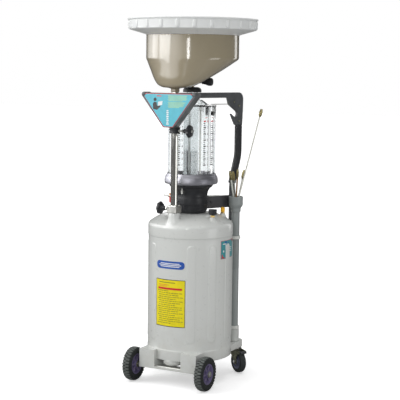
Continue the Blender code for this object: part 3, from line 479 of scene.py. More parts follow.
def wrapped(centre, width, low, high, radius, thick, corner=0, cols=12):
    """A thin plate lying on an upright cylinder; centre in degrees from the front, width in mm of arc."""
    middle = radians(centre)
    surface = radius if callable(radius) else lambda angle: radius
    rows = []
    marks = [i / cols for i in range(cols + 1)]
    if corner:
        share = corner / width
        ends = [0, share * 0.08, share * 0.3, share * 0.6]
        marks = ends + [share + (1 - 2 * share) * m for m in marks] + [1 - m for m in ends[::-1]]
    for mark in marks:
        x = (mark - 0.5) * width
        inset = 0
        if corner:
            into = max(0, corner - min(mark, 1 - mark) * width)
            inset = corner - sqrt(max(0, corner * corner - into * into))
        bottom, top = low + inset, high - inset
        a = middle + x / surface(middle)
        rows.append([around(a, surface(a) + thick, bottom), around(a, surface(a) + thick, top),
            around(a, surface(a) - 0.2, top), around(a, surface(a) - 0.2, bottom)])
    return grid(rows)


def number(text, height, centre_angle, z, radius, thick=0.25):
    """A numeral of the built-in font laid on an upright cylinder."""
    curve = bpy.data.curves.new("numeral", "FONT")
    curve.body = text
    curve.size = height
    curve.align_x = "CENTER"
    curve.extrude = thick
    curve.resolution_u = 2
    holder = bpy.data.objects.new("numeral", curve)
    mesh = bpy.data.meshes.new_from_object(holder)
    surface = radius if callable(radius) else lambda angle: radius
    middle = radians(centre_angle)
    points = []
    for vertex in mesh.vertices:
        a = middle + vertex.co.x / surface(middle)
        points.append(around(a, surface(a) + vertex.co.z, z + vertex.co.y))
    faces = [tuple(polygon.vertices) for polygon in mesh.polygons]
    bpy.data.objects.remove(holder)
    bpy.data.curves.remove(curve)
    bpy.data.meshes.remove(mesh)
    return points, faces


def corner_of(node):
    low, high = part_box(node)
    return low / MM, high / MM


def heights(node):
    """The lowest and the highest point of a node."""
    return [corner.z for corner in corner_of(node)]


def middle_of(node):
    low, high = corner_of(node)
    return (low + high) / 2


# ---------------------------------------------------------------- tank
TANK_R = 190
RIB_HALF = 20.5
RIB_LOW, RIB_HIGH = 192, 632
RIB_LIFT = 1.7
SECTOR = radians(30)
CROWN_R, CROWN_Z = 84, 758
SHOULDER_R, SHOULDER_Z = 184, 718
riser = middle_of("riser_tube")


def dome(x, y):
    """Height of the tank's pressed top: a flat crown, a long fall and a tight shoulder."""
    r = hypot(x, y)
    if r <= CROWN_R:
        return CROWN_Z
    if r <= SHOULDER_R:
        return CROWN_Z - 40 * ((r - CROWN_R) / (SHOULDER_R - CROWN_R)) ** 1.9
    return SHOULDER_Z - 12 * ((r - SHOULDER_R) / 8) ** 1.6


def ribbed(angle, r, z):
    """Press the upright ribs into the tank wall; there is none at the front."""
    turn = angle + pi / 2
    index = round(turn / SECTOR)
    if abs(r - TANK_R) > 0.01 or index % 12 == 0:
        return r, z
    arc = (turn - index * SECTOR) * TANK_R
    over = max(RIB_LOW + RIB_HALF - z, z - (RIB_HIGH - RIB_HALF), 0)
    edge = min(1, max(0, (RIB_HALF - hypot(arc, over)) / 3.4))
    return r + RIB_LIFT * edge * edge * (3 - 2 * edge), z


steps = (4, 11, 15.5, 17.4, 18.8, 20.2, 21.5, 24, 29, 36, 44)
columns = [index * SECTOR + step / TANK_R for index in range(12) for step in (*[-step for step in steps[::-1]],
    *steps)]
wall = [(0, 112), (100, 112.5), (174, 113.5), (178, 117), (181, 112.4), (184, 111), (188.8, 111), (190.8, 112.2),
    (191.4, 115), (191.4, 154.5), (191.1, 157), (190.3, 159.2), (TANK_R, 162), (TANK_R, 186)]
wall += [(TANK_R, RIB_LOW - 1 + 1.5 * i) for i in range(16)]
wall += [(TANK_R, 240 + 58 * i) for i in range(7)]
wall += [(TANK_R, RIB_HIGH + 1 - 1.5 * i) for i in range(15, -1, -1)]
wall += [(TANK_R, 640), (TANK_R, 656), (190.3, 658.6), (191.2, 660), (191.9, 662), (192, 665), (192, 700),
    (191.7, 704)]
wall += [(r, dome(r, 0) - 0.1) for r in (191, 190, 188.5, 186.5, 184, 179, 172, 163, 153, 142, 130, 118, 106, 95)]
wall += [(84, 758), (60, 758), (0, 758)]
piece("tank_body", [turned(wall, angles=columns, shape=ribbed)], paint, stands_for=["tank_shell"], crease=50)


def flared(cx, cy, tube, top, spread, rim=2, bore=0, steps=64, up=None):
    """A spout drawn out of the domed top: its foot follows the dome, its lip is rolled."""
    rows = []
    for share in (1, 0.86, 0.72, 0.58, 0.44, 0.32, 0.2, 0.1, 0.03, 0):
        row = []
        for a in circle(steps):
            limit = spread
            while hypot(cx + (tube + limit) * cos(a), cy + (tube + limit) * sin(a)) > 190.8:
                limit -= 0.5
            reach = tube + limit * share
            x, y = cx + reach * cos(a), cy + reach * sin(a)
            foot = dome(x, y) - 0.4
            row.append((x, y, foot + (up - foot) * (1 - share) ** 3.2))
        rows.append(row)

    def level(radius, z):
        return [(cx + radius * cos(a), cy + radius * sin(a), z) for a in circle(steps)]
    rows += [level(tube, top - rim), level(tube - rim * 0.3, top - rim * 0.3), level(tube - rim, top),
        level(tube - rim * 2, top), level(bore, top - rim * 0.5), level(bore, up - 30)]
    return grid(rows)


piece("tank_neck", [flared(0, riser.y, 25.5, 771, 17, 1.6, 16.5, up=748)], paint, crease=50)
gauge = middle_of("gauge_case")
relief = middle_of("relief_cap")
piece("tank_ports", [flared(gauge.x, gauge.y, 12.5, 750, 13, 1.4, 4.2, 40, up=745.5), flared(relief.x, relief.y,
    12.5, 751, 13, 1.4, 4.2, 40, up=746)], paint, crease=50)
sump = (0, -148, 0)
piece("tank_sump", [turned([(0, 116), (44, 116), (44, 102), (43.2, 97), (40.6, 92), (35.5, 87.6), (28, 84.4),
    (18, 82.5), (0, 82)], 64, 2, sump), hexagon(17, 79, 83, sump)], paint)


# ---------------------------------------------------------------- front running gear
def bead(path, radius, look, name, body):
    """A rippled weld bead along a path."""
    sizes = [radius * (1 + 0.16 * sin(2.4 * i)) for i in range(len(path))]
    sizes[0] = sizes[-1] = radius * 0.3
    return piece(name, [swept([Vector(p) for p in path], sizes, 8)], look, body, crease=80, slot=None)


PIVOT_X, PIVOT_Y = 136, 196       # the casters' swivel pins
dress("front_bracket", paint, 2.4, 3)
# a thin plate closes the bracket's passage below the sump
soften(piece("front_bracket_floor", [block((133, 61, 2), (0, -152, 71.6))], paint), 0.5, 2)
for side, label in ((-1, "left"), (1, "right")):
    arc = [around(side * radians(21.5 + 27 * i / 60), 191.9, 154.2) for i in range(61)]
    bead(arc, 2.1, paint, "front_weld_" + label, "frame")
    top = heights("rear_bracket_" + label)[1]
    dress("rear_bracket_" + label, paint, 2.2, 3)
    pin = (side * PIVOT_X, PIVOT_Y, 0)
    piece("swivel_nut_" + label, [hexagon(22, top, top + 8.5, pin),
        turned([(0, top + 11), (5, top + 11), (6, top + 10), (6, top), (0, top)], 24, 0, pin),
        turned([(15, top + 1.6), (15, top), (5, top), (5, top + 1.6)], 40, 0.4, pin)], zinc)


def treaded(pitches, depth, crown, inner, half):
    """Cut staggered blocks into a tyre's shoulders and a groove round its crown."""
    def shape(angle, r, h):
        side = 0 if h > 0 else 0.5
        phase = (angle / (2 * pi) * pitches + side) % 1
        notch = min(1, max(0, min(phase, 0.42 - phase) / 0.09 + 0.1)) if phase < 0.42 else 0
        reach = min(1, max(0, (abs(h) - half * 0.06) / (half * 0.10)))
        outward = min(1, max(0, (r - inner) / (crown - inner) * 2.2))
        groove = max(0, 1 - abs(h) / (half * 0.05)) * 0.3
        cut = depth * max(notch * reach * outward, groove * outward)
        flank = min(1, abs(h) / half)
        return r - cut * (1 - 0.35 * flank ** 4), h * (1 - 0.10 * notch * outward * flank ** 6)
    return shape


def wheel(label, body, axis, crown, half, rim, hub_profile, pitches, depth, tyre_look, hub_look, spokes=0):
    """Tyre with moulded blocks, dished hub with spokes, standing on a CAD wheel's centre."""
    centre = middle_of(label + "_tyre")
    side = [(rim + 0.4, half * 0.86), (rim + 2.5, half * 0.93), (rim + 5.5, half * 0.99), (rim + 7, half * 0.97),
        (rim + 8.5, half), (crown - 13, half), (crown - 9.5, half * 0.985), (crown - 6, half * 0.93),
        (crown - 3.2, half * 0.82), (crown - 1.4, half * 0.66), (crown - 0.5, half * 0.48),
        (crown - 0.1, half * 0.30), (crown, half * 0.16), (crown, half * 0.10), (crown, half * 0.04)]
    profile = side + [(crown, 0)] + [(r, -h) for r, h in side[::-1]]
    piece(label + "_tread", [turned(profile, pitches * 14, 0, centre, axis, shape=treaded(pitches, depth, crown,
        rim + 14, half))], tyre_look, body, [label + "_tyre"], crease=28)
    both = hub_profile + [(r, -h) for r, h in hub_profile[::-1]]
    shells = [turned(both, 96, 1.2, centre, axis)]
    for index in range(spokes):
        turn = 2 * pi * index / spokes
        for hand in (-1, 1):
            outline = [(hub_profile[2][0] - 1, -3.4), (rim - 6, -2.4), (rim - 6, 2.4), (hub_profile[2][0] - 1, 3.4)]
            low, high = (3, half * 0.66) if hand > 0 else (-half * 0.66, -3)
            shells.append(slab(outline, low, high, centre, axis, turn))
    hub = piece(label + "_wheel_hub", shells, hub_look, body, [label + "_hub"])
    if spokes:
        soften(hub, 0.8, 2, 50)
    return centre


axle_low, axle_high = corner_of("front_axle")
axle = (axle_low + axle_high) / 2
end = axle_high.x
piece("front_axle_rod", [turned([(0, end), (8, end), (11, end - 1.2), (12, end - 2.6), (12, end - 5), (7, end - 5),
    (7, 5 - end), (12, 5 - end), (12, 2.6 - end), (11, 1.2 - end), (8, -end), (0, -end)], 48, 0, axle, (1, 0, 0))],
    zinc, stands_for=["front_axle"])
FRONT_HUB = [(7.3, 21), (15.5, 21), (17.2, 19), (18.5, 6.5), (35, 5), (38.5, 13.5), (42, 17), (46, 17)]
for label in ("front_left", "front_right"):
    body = "front_wheel_" + label[6:]
    centre = wheel(label, body, (1, 0, 0), 76, 20, 46, FRONT_HUB, 32, 5.2, tyre_grey, hub_plum, 6)
    rings = [turned([(7.4, h + 1.3), (13.4, h + 1.3), (14.4, h + 0.4), (14.4, h), (7.4, h)], 48, 0, centre,
        (1, 0, 0)) for h in (20.9, -22.2)]
    piece(label + "_bearing", rings, yellow_zinc, body)

# ---------------------------------------------------------------- rear casters
CASTER_YAW = radians(-32.5)
trail_dir = Vector((cos(CASTER_YAW), sin(CASTER_YAW), 0))
axle_dir = Vector((-sin(CASTER_YAW), cos(CASTER_YAW), 0))
CASTER_HUB = [(5.4, 16), (10.5, 16), (12.5, 14), (14, 8.5), (25, 6.5), (28, 11.5), (31, 13.2), (34, 13.2)]
for side, label in ((-1, "left"), (1, "right")):
    name = "caster_" + label
    turner, roller = "caster_swivel_" + label, "caster_wheel_" + label
    centre = wheel(name, roller, axle_dir, 51, 15, 34, CASTER_HUB, 26, 2, tyre_black, hub_slate)
    pivot = Vector((side * PIVOT_X, PIVOT_Y, 0))
    dress("caster_fork_" + label, yellow_zinc, 0.7, 2)
    dress("caster_axle_" + label, zinc, 0.6, 2)
    dress("caster_brake_" + label, black, 0.8, 2, 30)
    shells = [turned([(24, 116.6), (30.5, 113.6), (31.6, 111.5), (31.6, 108.6), (30, 106.6), (24, 106.6)], 64, 0.8,
        pivot), hexagon(18, 97.8, 106.3, pivot), hexagon(14, 22.6, 28.5, centre, axle_dir),
        hexagon(14, 22.6, 28.5, centre, -axle_dir)]
    piece(name + "_race", shells, zinc, turner)
    tread = []
    for index in range(4):
        spot = pivot + trail_dir * (68.5 + 2.9 * index) + Vector((0, 0, 105.4 - 0.9 * index))
        tread.append(block((1.6, 24, 1.2), spot, CASTER_YAW))
    soften(piece(name + "_brake_ribs", tread, black, "brake_" + label), 0.35, 2)

# ---------------------------------------------------------------- chamber base, flange, wall and top
piece("chamber_pedestal", [turned([(98, 889), (98.6, 885), (98, 880), (93, 875), (86, 870), (80, 861), (76, 851),
    (74.3, 842), (74, 830.5), (76.2, 829.5), (76.4, 827), (76.4, 801), (76.2, 798.5), (74, 797.5), (74, 775),
    (72.5, 769), (67, 759.5), (64, 758.3), (12, 758.3), (12, 868), (80, 872), (84, 889)], 96, 1)], black,
    stands_for=["chamber_base"])
seams = []
for bearing in (3, 183):
    seams += [wrapped(bearing, 2.2, 776, 797, 73.9, 1), wrapped(bearing, 2.2, 802, 826, 76.2, 1),
        wrapped(bearing, 2.2, 831, 846, 73.9, 1)]
piece("chamber_pedestal_seam", seams, black)
SCREW_Z = 814
screws = []
for bearing in (-60, -20, 100, 220, 260):
    screws.append(hexagon(9, 76.2, 80, (0, 0, SCREW_Z), around(radians(bearing), 1, 0)))
piece("chamber_pedestal_screws", screws, black)
piece("chamber_flange_ring", [turned([(99, 937.5), (104, 937.8), (108.5, 936.6), (110.8, 933.5), (112, 929.5),
    (115, 925.5), (117.8, 921), (119.6, 914), (120.5, 905), (120.5, 899), (119.5, 893.5), (117, 890.2),
    (114, 889.6), (76, 889.6), (76, 898), (95, 900), (98, 908), (99, 926)], 120, 1.2)], aluminium,
    stands_for=["chamber_flange"], crease=30)
FLUTES = 20
WALL_R, FLUTE_DEPTH = 108, 3


def wall_radius(angle):
    """Outer radius of the fluted wall; angle from the front in radians."""
    share = (angle / (2 * pi) * FLUTES + 0.5) % 1
    return WALL_R - FLUTE_DEPTH + FLUTE_DEPTH * sin(pi * share)


wall_low, wall_high = heights("chamber_wall")
flute_angles = []
for flute in range(FLUTES):
    for share in (0, 0.04, 0.12, 0.24, 0.37, 0.5, 0.63, 0.76, 0.88, 0.96):
        flute_angles.append((flute + share - 0.5) * 2 * pi / FLUTES - pi / 2)


def fluted(angle, r, z):
    return (r - WALL_R + wall_radius(angle + pi / 2), z) if r > 104 else (r, z)


piece("chamber_cylinder", [turned([(101, wall_low), (108, wall_low), (108, wall_low + 3), (108, wall_high - 3),
    (108, wall_high), (101, wall_high)], closed=True, shape=fluted, angles=flute_angles)], acrylic,
    stands_for=["chamber_wall"], crease=20)
piece("chamber_cover", [turned([(21, 1297.5), (25, 1297.5), (25, 1276), (27, 1272.5), (34, 1270.5), (43, 1266.5),
    (60, 1255.5), (75, 1245.5), (84, 1242), (108, 1241), (110, 1239.5), (110, 1237.5), (109, 1236.4), (78, 1236.4),
    (70, 1238.5), (56, 1248), (40, 1260), (32, 1264), (23, 1266), (21, 1270)], 96, 0.8)], acrylic,
    stands_for=["chamber_top"], crease=30)
# inside: a wide clear riser pipe, a steel suction tube and four tie rods
piece("chamber_inner_pipe", [turned([(27, 1236), (30, 1236), (30, 900), (27, 900)], 64, 0.5)], acrylic)
piece("chamber_suction_tube", [turned([(3.2, 1262), (4.8, 1262), (4.8, 899), (3.2, 899)], 32, 0.3)], zinc)
rods = []
for bearing in (-35, 55, 145, 235):
    x, y, _ = around(radians(bearing), 88, 0)
    rods.append(turned([(0, 1236), (3, 1236), (3, 899), (0, 899)], 20, 0.3, (x, y, 0)))
piece("chamber_tie_rods", rods, zinc)
piece("chamber_floor", [turned([(0, 903), (94, 903), (96, 901.5), (96, 899), (0, 899)], 72, 0.6)], aluminium)

TICK_LOW, TICK_STEP = 979, 27.65
for strip, bearing in enumerate((1.7, 65.5, 90)):
    black_marks = []
    red_marks = []
    for index in range(8):
        z = TICK_LOW + TICK_STEP * index
        marks = red_marks if index == 7 else black_marks
        marks.append(wrapped(bearing - 4.4, 13, z - 2.8, z + 2.8, wall_radius, 0.4, cols=6))
        marks.append(number(str(index + 1), 13, bearing + 4.2, z - 4.6, wall_radius, 0.4))
        for minor in range(1, 3):
            zz = z + TICK_STEP * minor / 3
            if index < 7:
                black_marks.append(wrapped(bearing - 5.2, 10, zz - 1.9, zz + 1.9, wall_radius, 0.35, cols=5))
    if strip == 2:
        black_marks.append(wrapped(bearing, 20, 1197, 1216, wall_radius, 0.3, 2))
    red_marks.append(wrapped(bearing, 13, 1187, 1189, wall_radius, 0.3))
    piece("scale_%d" % strip, black_marks, ink_black, crease=60)
    piece("scale_top_%d" % strip, red_marks, ink_red, crease=60)

# ---------------------------------------------------------------- top valve
def ribbed_cap(count, depth, low, high):
    def shape(angle, r, z):
        if low < z < high:
            return r - depth * max(0, cos(count * angle)) ** 6, z
        return r, z
    return shape


piece("valve_cover", [turned([(0, 1322), (14, 1322), (24, 1321.4), (32, 1319.4), (37.5, 1315.5), (40.4, 1310.5),
    (41.5, 1306), (41.5, 1301), (41.2, 1299.2), (40, 1298.2), (0, 1298.2)], 240, 0.4, shape=ribbed_cap(30, 0.9,
    1298.6, 1311))], black, stands_for=["valve_cap"])
dress("valve_nut", brass, 0.5, 2)
dress("valve_lever", zinc, 0.6, 2)
LEVER_Z = 1345
lever_yaw = radians(28.4)
lever_aim = (cos(lever_yaw), sin(lever_yaw), 0)
piece("lever_handle", [turned([(0, 94), (7, 93.6), (11.5, 92.4), (15.2, 89.6), (17.4, 85.5), (18, 80), (17.4, 72),
    (15, 64.5), (12.4, 58), (10.8, 51), (10.2, 45), (9.4, 42.6), (5.2, 42.2), (4.6, 42.2), (4.6, 50), (0, 50)], 84,
    0, (0, 0, LEVER_Z), lever_aim, shape=ribbed_cap(12, 0.7, 58.5, 86))], black, "top_valve", ["lever_grip"])

# ---------------------------------------------------------------- air inlet and base fitting
AIR_Z = 828
dress("air_valve_body", brass, 0.6, 2)
dress("air_nipple", zinc, 0.4, 2)
dress("air_valve_lever", red_dip)
dress("base_fitting", zinc, 0.4, 2)
piece("air_inlet_nuts", [turned([(6.3, 0), (11.2, 0), (11.2, 6.4), (6.3, 6.4)], 6, 0.6, (-80.5, 0, AIR_Z),
    (-1, 0, 0)), turned([(7.1, 0), (10.6, 0), (10.6, 5.2), (7.1, 5.2)], 6, 0.6, (-111.2, 0, AIR_Z), (-1, 0, 0)),
    hexagon(7, 17.9, 21, (-98, 0, AIR_Z), (0, -1, 0))], zinc)

# ---------------------------------------------------------------- clamp arm, post, grip, handle plate
dress("clamp_arm", black)
post_low, post_high = corner_of("post")
POST_R = 11.9
foot = Vector((post_low.x + POST_R, post_low.y + POST_R, post_low.z))
column = Vector((post_high.x - POST_R, post_high.y - POST_R, 0))
grip_top = heights("grip_sleeve")[1]
path = bent([foot, (foot.x, foot.y, 876), (column.x, column.y, 1010), (column.x, column.y, grip_top + 2)], 170)
piece("post_rod", [swept(path, POST_R, 40)], slate, stands_for=["post"])


def upward(points, start, finish):
    """The part of a rising path between two heights."""
    out = []
    for a, b in zip(points[:-1], points[1:]):
        for z in (start, finish):
            if a.z <= z < b.z and (z == start) != bool(out):
                out.append(a.lerp(b, (z - a.z) / (b.z - a.z)))
        if start < b.z < finish:
            out.append(b.copy())
    return out


sleeve_path = upward(path, heights("grip_sleeve")[0], grip_top - 0.01)
fine = []
for a, b in zip(sleeve_path[:-1], sleeve_path[1:]):
    steps = max(1, round((b - a).length / 3))
    fine += [a.lerp(b, i / steps) for i in range(steps)]
fine.append(sleeve_path[-1])
sizes = []
for index, point in enumerate(fine):
    ends = min(index, len(fine) - 1 - index)
    sizes.append(15.8 if ends == 0 else 17.2 if ends == 1 else 17.5 if ends < 5 else 17 + 0.25 * (index % 4 < 2))
piece("grip_cover", [swept(fine, sizes, 40, 12)], grip_rubber, stands_for=["grip_sleeve"], crease=50)
arm_dir = Vector((foot.x, foot.y, 0)).normalized()
arm_yaw = atan2(arm_dir.y, arm_dir.x)
arm_side = Vector((-arm_dir.y, arm_dir.x, 0))
arm_high = corner_of("clamp_arm")[1]
bolts = []
for reach, z in ((104, 798), (190, 812), (190, 783)):
    for hand in (-1, 1):
        bolts.append(hexagon(11, 11.9, 16.4, arm_dir * reach + Vector((0, 0, z)), arm_side * hand))
piece("clamp_arm_bolts", bolts, black)
cap_plate = piece("clamp_arm_cap", [block((62, 22, 3.4), arm_dir * 124 + Vector((0, 0, arm_high.z + 1.6)),
    arm_yaw)], clamp_white)
soften(cap_plate, 1.2, 3)
dress("handle_arm", slate)
plate_low = heights("handle_arm")[0]
piece("grip_ferrule", [turned([(0, plate_low + 0.5), (16.2, plate_low + 0.5), (17.4, plate_low - 0.4),
    (17.4, grip_top + 0.6), (16.2, grip_top - 0.2), (0, grip_top - 0.2)], 56, 0, (column.x, column.y, 0))],
    grip_rubber)
# the way the handle plate runs from the post
inward = Vector((-0.2775, -0.9607, 0))
plate_side = Vector((-inward.y, inward.x, 0))
bolts = []
for u, z in ((38, 1254), (6, 1236), (4, 1166), (330, 1285)):
    for hand in (-1, 1):
        spot = column + inward * u + Vector((0, 0, z))
        bolts.append(hexagon(7, 6.9, 9.6, spot, plate_side * hand))
        bolts.append(turned([(2, 6.9), (5.4, 6.9), (5.4, 7.6), (2, 7.6)], 32, 0.2, spot, plate_side * hand))
piece("handle_bolts", bolts, yellow_zinc)
dress("chamber_brace", zinc, 0.6, 2)

# ---------------------------------------------------------------- probe holder
tube = middle_of("probe_tube")
tube_low, tube_high = heights("probe_tube")
holder = (tube.x, tube.y, 0)
piece("holder_pipe", [turned([(16, tube_high), (18.8, tube_high), (19, tube_high - 0.6), (19, 488), (18.5, 486.8),
    (18.3, 485), (18.5, 483.2), (19, 482), (19, tube_low + 0.6), (18.8, tube_low), (16, tube_low)], 72, 0, holder)],
    pipe_grey, stands_for=["probe_tube"])
piece("holder_cup", [turned([(29.6, 823), (31.2, 823.2), (32.6, 822.4), (33, 820.8), (33, 786), (32.2, 783),
    (24, 769.6), (23, 767), (23, 753.4), (22.4, 752.3), (19.3, 752), (19.3, 790.3), (28.6, 794), (29.4, 796)], 80,
    0.5, holder)], pipe_grey, stands_for=["probe_cup"])
piece("holder_foot", [turned([(19.3, 206), (23, 206), (24, 205), (24, 162), (24.6, 159.5), (27, 158), (27, 150),
    (26, 148.3), (0, 148.3), (0, 153), (19.3, 153)], 72, 0.5, holder)], pipe_light, stands_for=["probe_foot"])
for label in ("upper", "lower"):
    dress("probe_clamp_" + label, clamp_white, 0.8, 2)
    ring = middle_of("probe_clamp_" + label)
    out = Vector((tube.x, tube.y, 0)).normalized()
    piece("pipe_clamp_screw_" + label, [hexagon(7, 20.5, 26.5, (tube.x, tube.y, ring.z), (out.y, -out.x, 0)),
        turned([(21, ring.z + 2.2), (24.2, ring.z + 2.2), (24.2, ring.z - 2.2), (21, ring.z - 2.2)], 64, 0.4,
        holder)], clamp_white)

# suction probes: body, node, start and end (each along the fan, across it, height), height and radius of the bend,
# radius of the tube and of its end, look
FAN = Vector((0.88, 0.475, 0))
ACROSS = Vector((-0.475, 0.88, 0))
PROBES = (("probe_a", "probe_clear", -8.5, -4, 430, -29, -6, 940, 800, 260, 4.2, 7.8, probe_tube_clear),
    ("probe_b", "probe_smoke", -2.5, 7.5, 470, -14, 16, 936, 800, 260, 3.9, 7.2, probe_tube_smoke),
    ("probe_c", "probe_copper", 0.5, -9, 380, 6, -16, 948, 800, 260, 4, 6.3, probe_tube_brown),
    ("probe_d", "probe_white", 9, 3.5, 450, 36.5, 4, 944, 800, 260, 4.2, 7.8, probe_tube_white),
    ("probe_e", "probe_long", 9.6, -5.2, 300, 110, -14, 1224, 805, 300, 3.5, 8, probe_tube_cream))
centre = Vector(holder)
for body, node, x0, y0, z0, x1, y1, z1, bend_z, bend_r, radius, tip, look in PROBES:
    start = centre + FAN * x0 + ACROSS * y0 + Vector((0, 0, z0))
    mouth = centre + FAN * (x0 + (0.2 if node == "probe_long" else 0)) + ACROSS * y0 + Vector((0, 0, bend_z))
    finish = centre + FAN * x1 + ACROSS * y1 + Vector((0, 0, z1))
    line = bent([start, mouth, finish], bend_r, 8)
    aim = (finish - line[-2]).normalized()
    length = 42 if node != "probe_long" else 36
    line[-1] = finish - aim * (length - 8)
    slot = "probe_copper" if node == "probe_copper" else "probe_nylon"
    piece(node + "_tube", [swept(line, radius, 20, radius - 1.1)], look, body, [node], crease=60, slot=slot)
    base = finish - aim * length
    knurl = lambda angle, r, z, t=tip: (r - (0.35 * t / 7 if cos(10 * angle) > 0.3 and 9 < z < 30 else 0), z)
    piece(node + "_end", [turned([(radius + 0.15, length), (tip * 0.62, length), (tip * 0.7, length - 0.8),
        (tip * 0.76, length - 9), (tip * 0.98, length - 10), (tip * 0.98, 8), (tip * 0.9, 6.5), (tip * 0.72, 6),
        (tip * 0.66, 0.6), (tip * 0.6, 0), (radius + 0.15, 0)], 60, 0.25, base, aim, shape=knurl)], tip_brass, body,
        slot=slot)

# ---------------------------------------------------------------- riser, clamp, collar and knobs
riser_low, riser_high = heights("riser_tube")
stand = (0, riser.y, 0)
piece("riser_pipe",
    [turned([(13.5, riser_high), (15.1, riser_high), (15.5, riser_high - 0.5), (15.5, riser_low + 0.5),
    (15.1, riser_low), (13.5, riser_low)], 72, 0, stand)], chrome, "riser", ["riser_tube"])
dress("riser_clamp", zinc, 0.6, 2)
clamp = middle_of("riser_clamp")
screws = []
for x in (-16, 16):
    for y in (-16, 16):
        screws.append(turned([(0, 2.2), (1.6, 2.2), (1.6, 3.4), (3.6, 3.4), (4, 3), (4, -1), (0, -1)], 28, 0,
            (x, clamp.y + y, clamp.z + 15.5)))
piece("riser_clamp_screws", screws, zinc)
piece("riser_collar_ring", [turned([(15.9, 1145), (21.8, 1145), (23.2, 1143.8), (23.5, 1142), (23.5, 1137),
    (22.6, 1135.6), (22.6, 1130.4), (23.5, 1129), (23.5, 1124), (23.2, 1122.2), (21.8, 1121), (15.9, 1121)], 72,
    0.5, stand)], black, stands_for=["riser_collar"])


def lobed(angle, r, z):
    """Seven finger scallops in the outer half of a knob."""
    return r - max(0, r - 17) * 0.30 * (0.5 - 0.5 * cos(7 * angle)) ** 1.3, z


for node, body, hand, neck in (("lower_knob", "clamp_knob", -1, 44), ("upper_knob", "collar_knob", 1, 48)):
    hub = middle_of(node)
    spot = (0, riser.y, hub.z)
    grip = [(r, neck + out) for r, out in ((0, 37), (9, 37), (11.5, 36.2), (13, 34.5), (19, 34), (25, 33.2),
        (28, 31), (29, 28), (29, 24), (28, 21), (25, 18.6), (18, 17), (13.4, 15), (11.8, 11), (10.8, 6), (10, 0),
        (0, 0))]
    piece(node + "_star", [turned(grip, 168, 0.8, spot, (hand, 0, 0), shape=lobed)], black, body, [node])
    piece(node + "_stud", [turned([(0, neck + 2), (4, neck + 2), (4, 24.4), (6.6, 24.2), (6.6, 21), (4, 20.6),
        (4, 17), (3.2, 16.6), (0, 16.6)], 32, 0.2, spot, (hand, 0, 0)), hexagon(15, neck - 9, neck - 2, spot,
        (hand, 0, 0)), turned([(0, neck + 38), (5.2, neck + 38), (6, neck + 37.2), (6, neck + 36), (0, neck + 36)],
        32, 0, spot, (hand, 0, 0))], zinc, body)

# ---------------------------------------------------------------- tool tray
tray_low, tray_high = corner_of("tool_tray")
dress("tool_tray", slate, 1, 2)
face_y = tray_low.y
tray_x = (tray_low.x + tray_high.x) / 2
lugs = []
for side in (-1, 1):
    lugs.append(turned([(0, 0), (7.6, 0), (9.2, 0.8), (10, 2.4), (10, 50.6), (9.2, 52.2), (7.6, 53), (0, 53)], 48,
        0, (tray_x + side * 125, face_y - 1.5, 1290), (0, 1, 0)))
piece("tray_lugs", lugs, slate)
PRINT = (1.1, 0.25)       # how far out the sign's print lies, and its thickness


def front_plate(outline, depth, thick=0.8):
    """A plate on the front of the tray; outline in (x, z)."""
    return grid([[(tray_x + x, y, z) for x, z in outline] for y in (face_y - depth + 0.3, face_y - depth - thick)])


def sign(top, bottom, low, high, clip=9):
    return [(-bottom, low), (bottom, low), (top, high - clip * 1.1), (top - clip, high), (-top + clip, high),
        (-top, high - clip * 1.1)]


soften(piece("tray_sign_edge", [front_plate(sign(123.5, 23, 1149.2, 1294), 0)], ink_red), 0.3)
soften(piece("tray_sign", [front_plate(sign(120.4, 21.4, 1151.4, 1291.6), 0.8, 0.3)], ink_cyan), 0.15)


def bar(left, right, low, high):
    return front_plate([(left, low), (right, low), (right, high), (left, high)], *PRINT)


mint = []
for row in range(12):
    z = 1284 - 4.3 * row - 3 * (row > 5)
    right = 94 - 2.6 * max(0, row - 3) - 14 * (row in (5, 11)) - 2.2 * (row % 3)
    mint.append(bar(-2 + 3 * (row % 2), right, z, z + 2.2))
piece("tray_sign_lines", mint, ink_mint)
white = [bar(-9 + 1.5 * (k % 2), 3 - 1.5 * (k % 2), 1160 + 8.2 * k, 1165.4 + 8.2 * k) for k in range(8)]
white.append(front_plate([(-52, 1240), (-30, 1245), (-28, 1262), (-50, 1258)], *PRINT))
piece("tray_sign_marks", white, ink_white)
disc = [(-66 + 7.5 * cos(a), 1268 + 7.5 * sin(a)) for a in circle(24)]
body_mark = [(-75, 1226), (-56, 1222), (-38, 1238), (-40, 1242), (-56, 1240), (-58, 1256), (-72, 1257), (-77, 1248)]
soften(piece("tray_sign_icon", [front_plate(disc, *PRINT), front_plate(body_mark, *PRINT)], ink_black), 0.1)
piece("tray_sign_heading", [bar(-58, -34, 1281, 1285)], ink_red)

# ---------------------------------------------------------------- bowl, strainer and splash ring
BOWL_TOP = heights("catch_bowl")[1]
BOWL_ROWS = (          # height, centre y, half width, half depth
    (1446, 0, 207, 207), (1400, -51, 165, 155.5), (1354, -112, 120, 94.5),
    (1330, -143, 88, 62), (1320.5, -150, 61, 46), (1318.3, -155, 30, 28),
    (1315, -155, 18.5, 18.5), (1308, -155, 17.5, 17.5), (1298.8, -155, 17.5, 17.5))


def smooth_rows(rows, reaches, steps=5):
    """Round the corners of the list of bowl sections; every column is eased together."""
    out = []
    for i, row in enumerate(rows):
        here = list(row)
        if i in (0, len(rows) - 1):
            out.append(here)
            continue
        before, after = rows[i - 1], rows[i + 1]
        down = min(0.45, reaches[i] / dist(row[::2], before[::2]))
        up = min(0.45, reaches[i] / dist(row[::2], after[::2]))
        a = [h + (b - h) * down for h, b in zip(here, before)]
        b = [h + (n - h) * up for h, n in zip(here, after)]
        for k in range(steps + 1):
            t = k / steps
            out.append([p * (1 - t) ** 2 + q * 2 * t * (1 - t) + r * t * t for p, q, r in zip(a, here, b)])
    return out


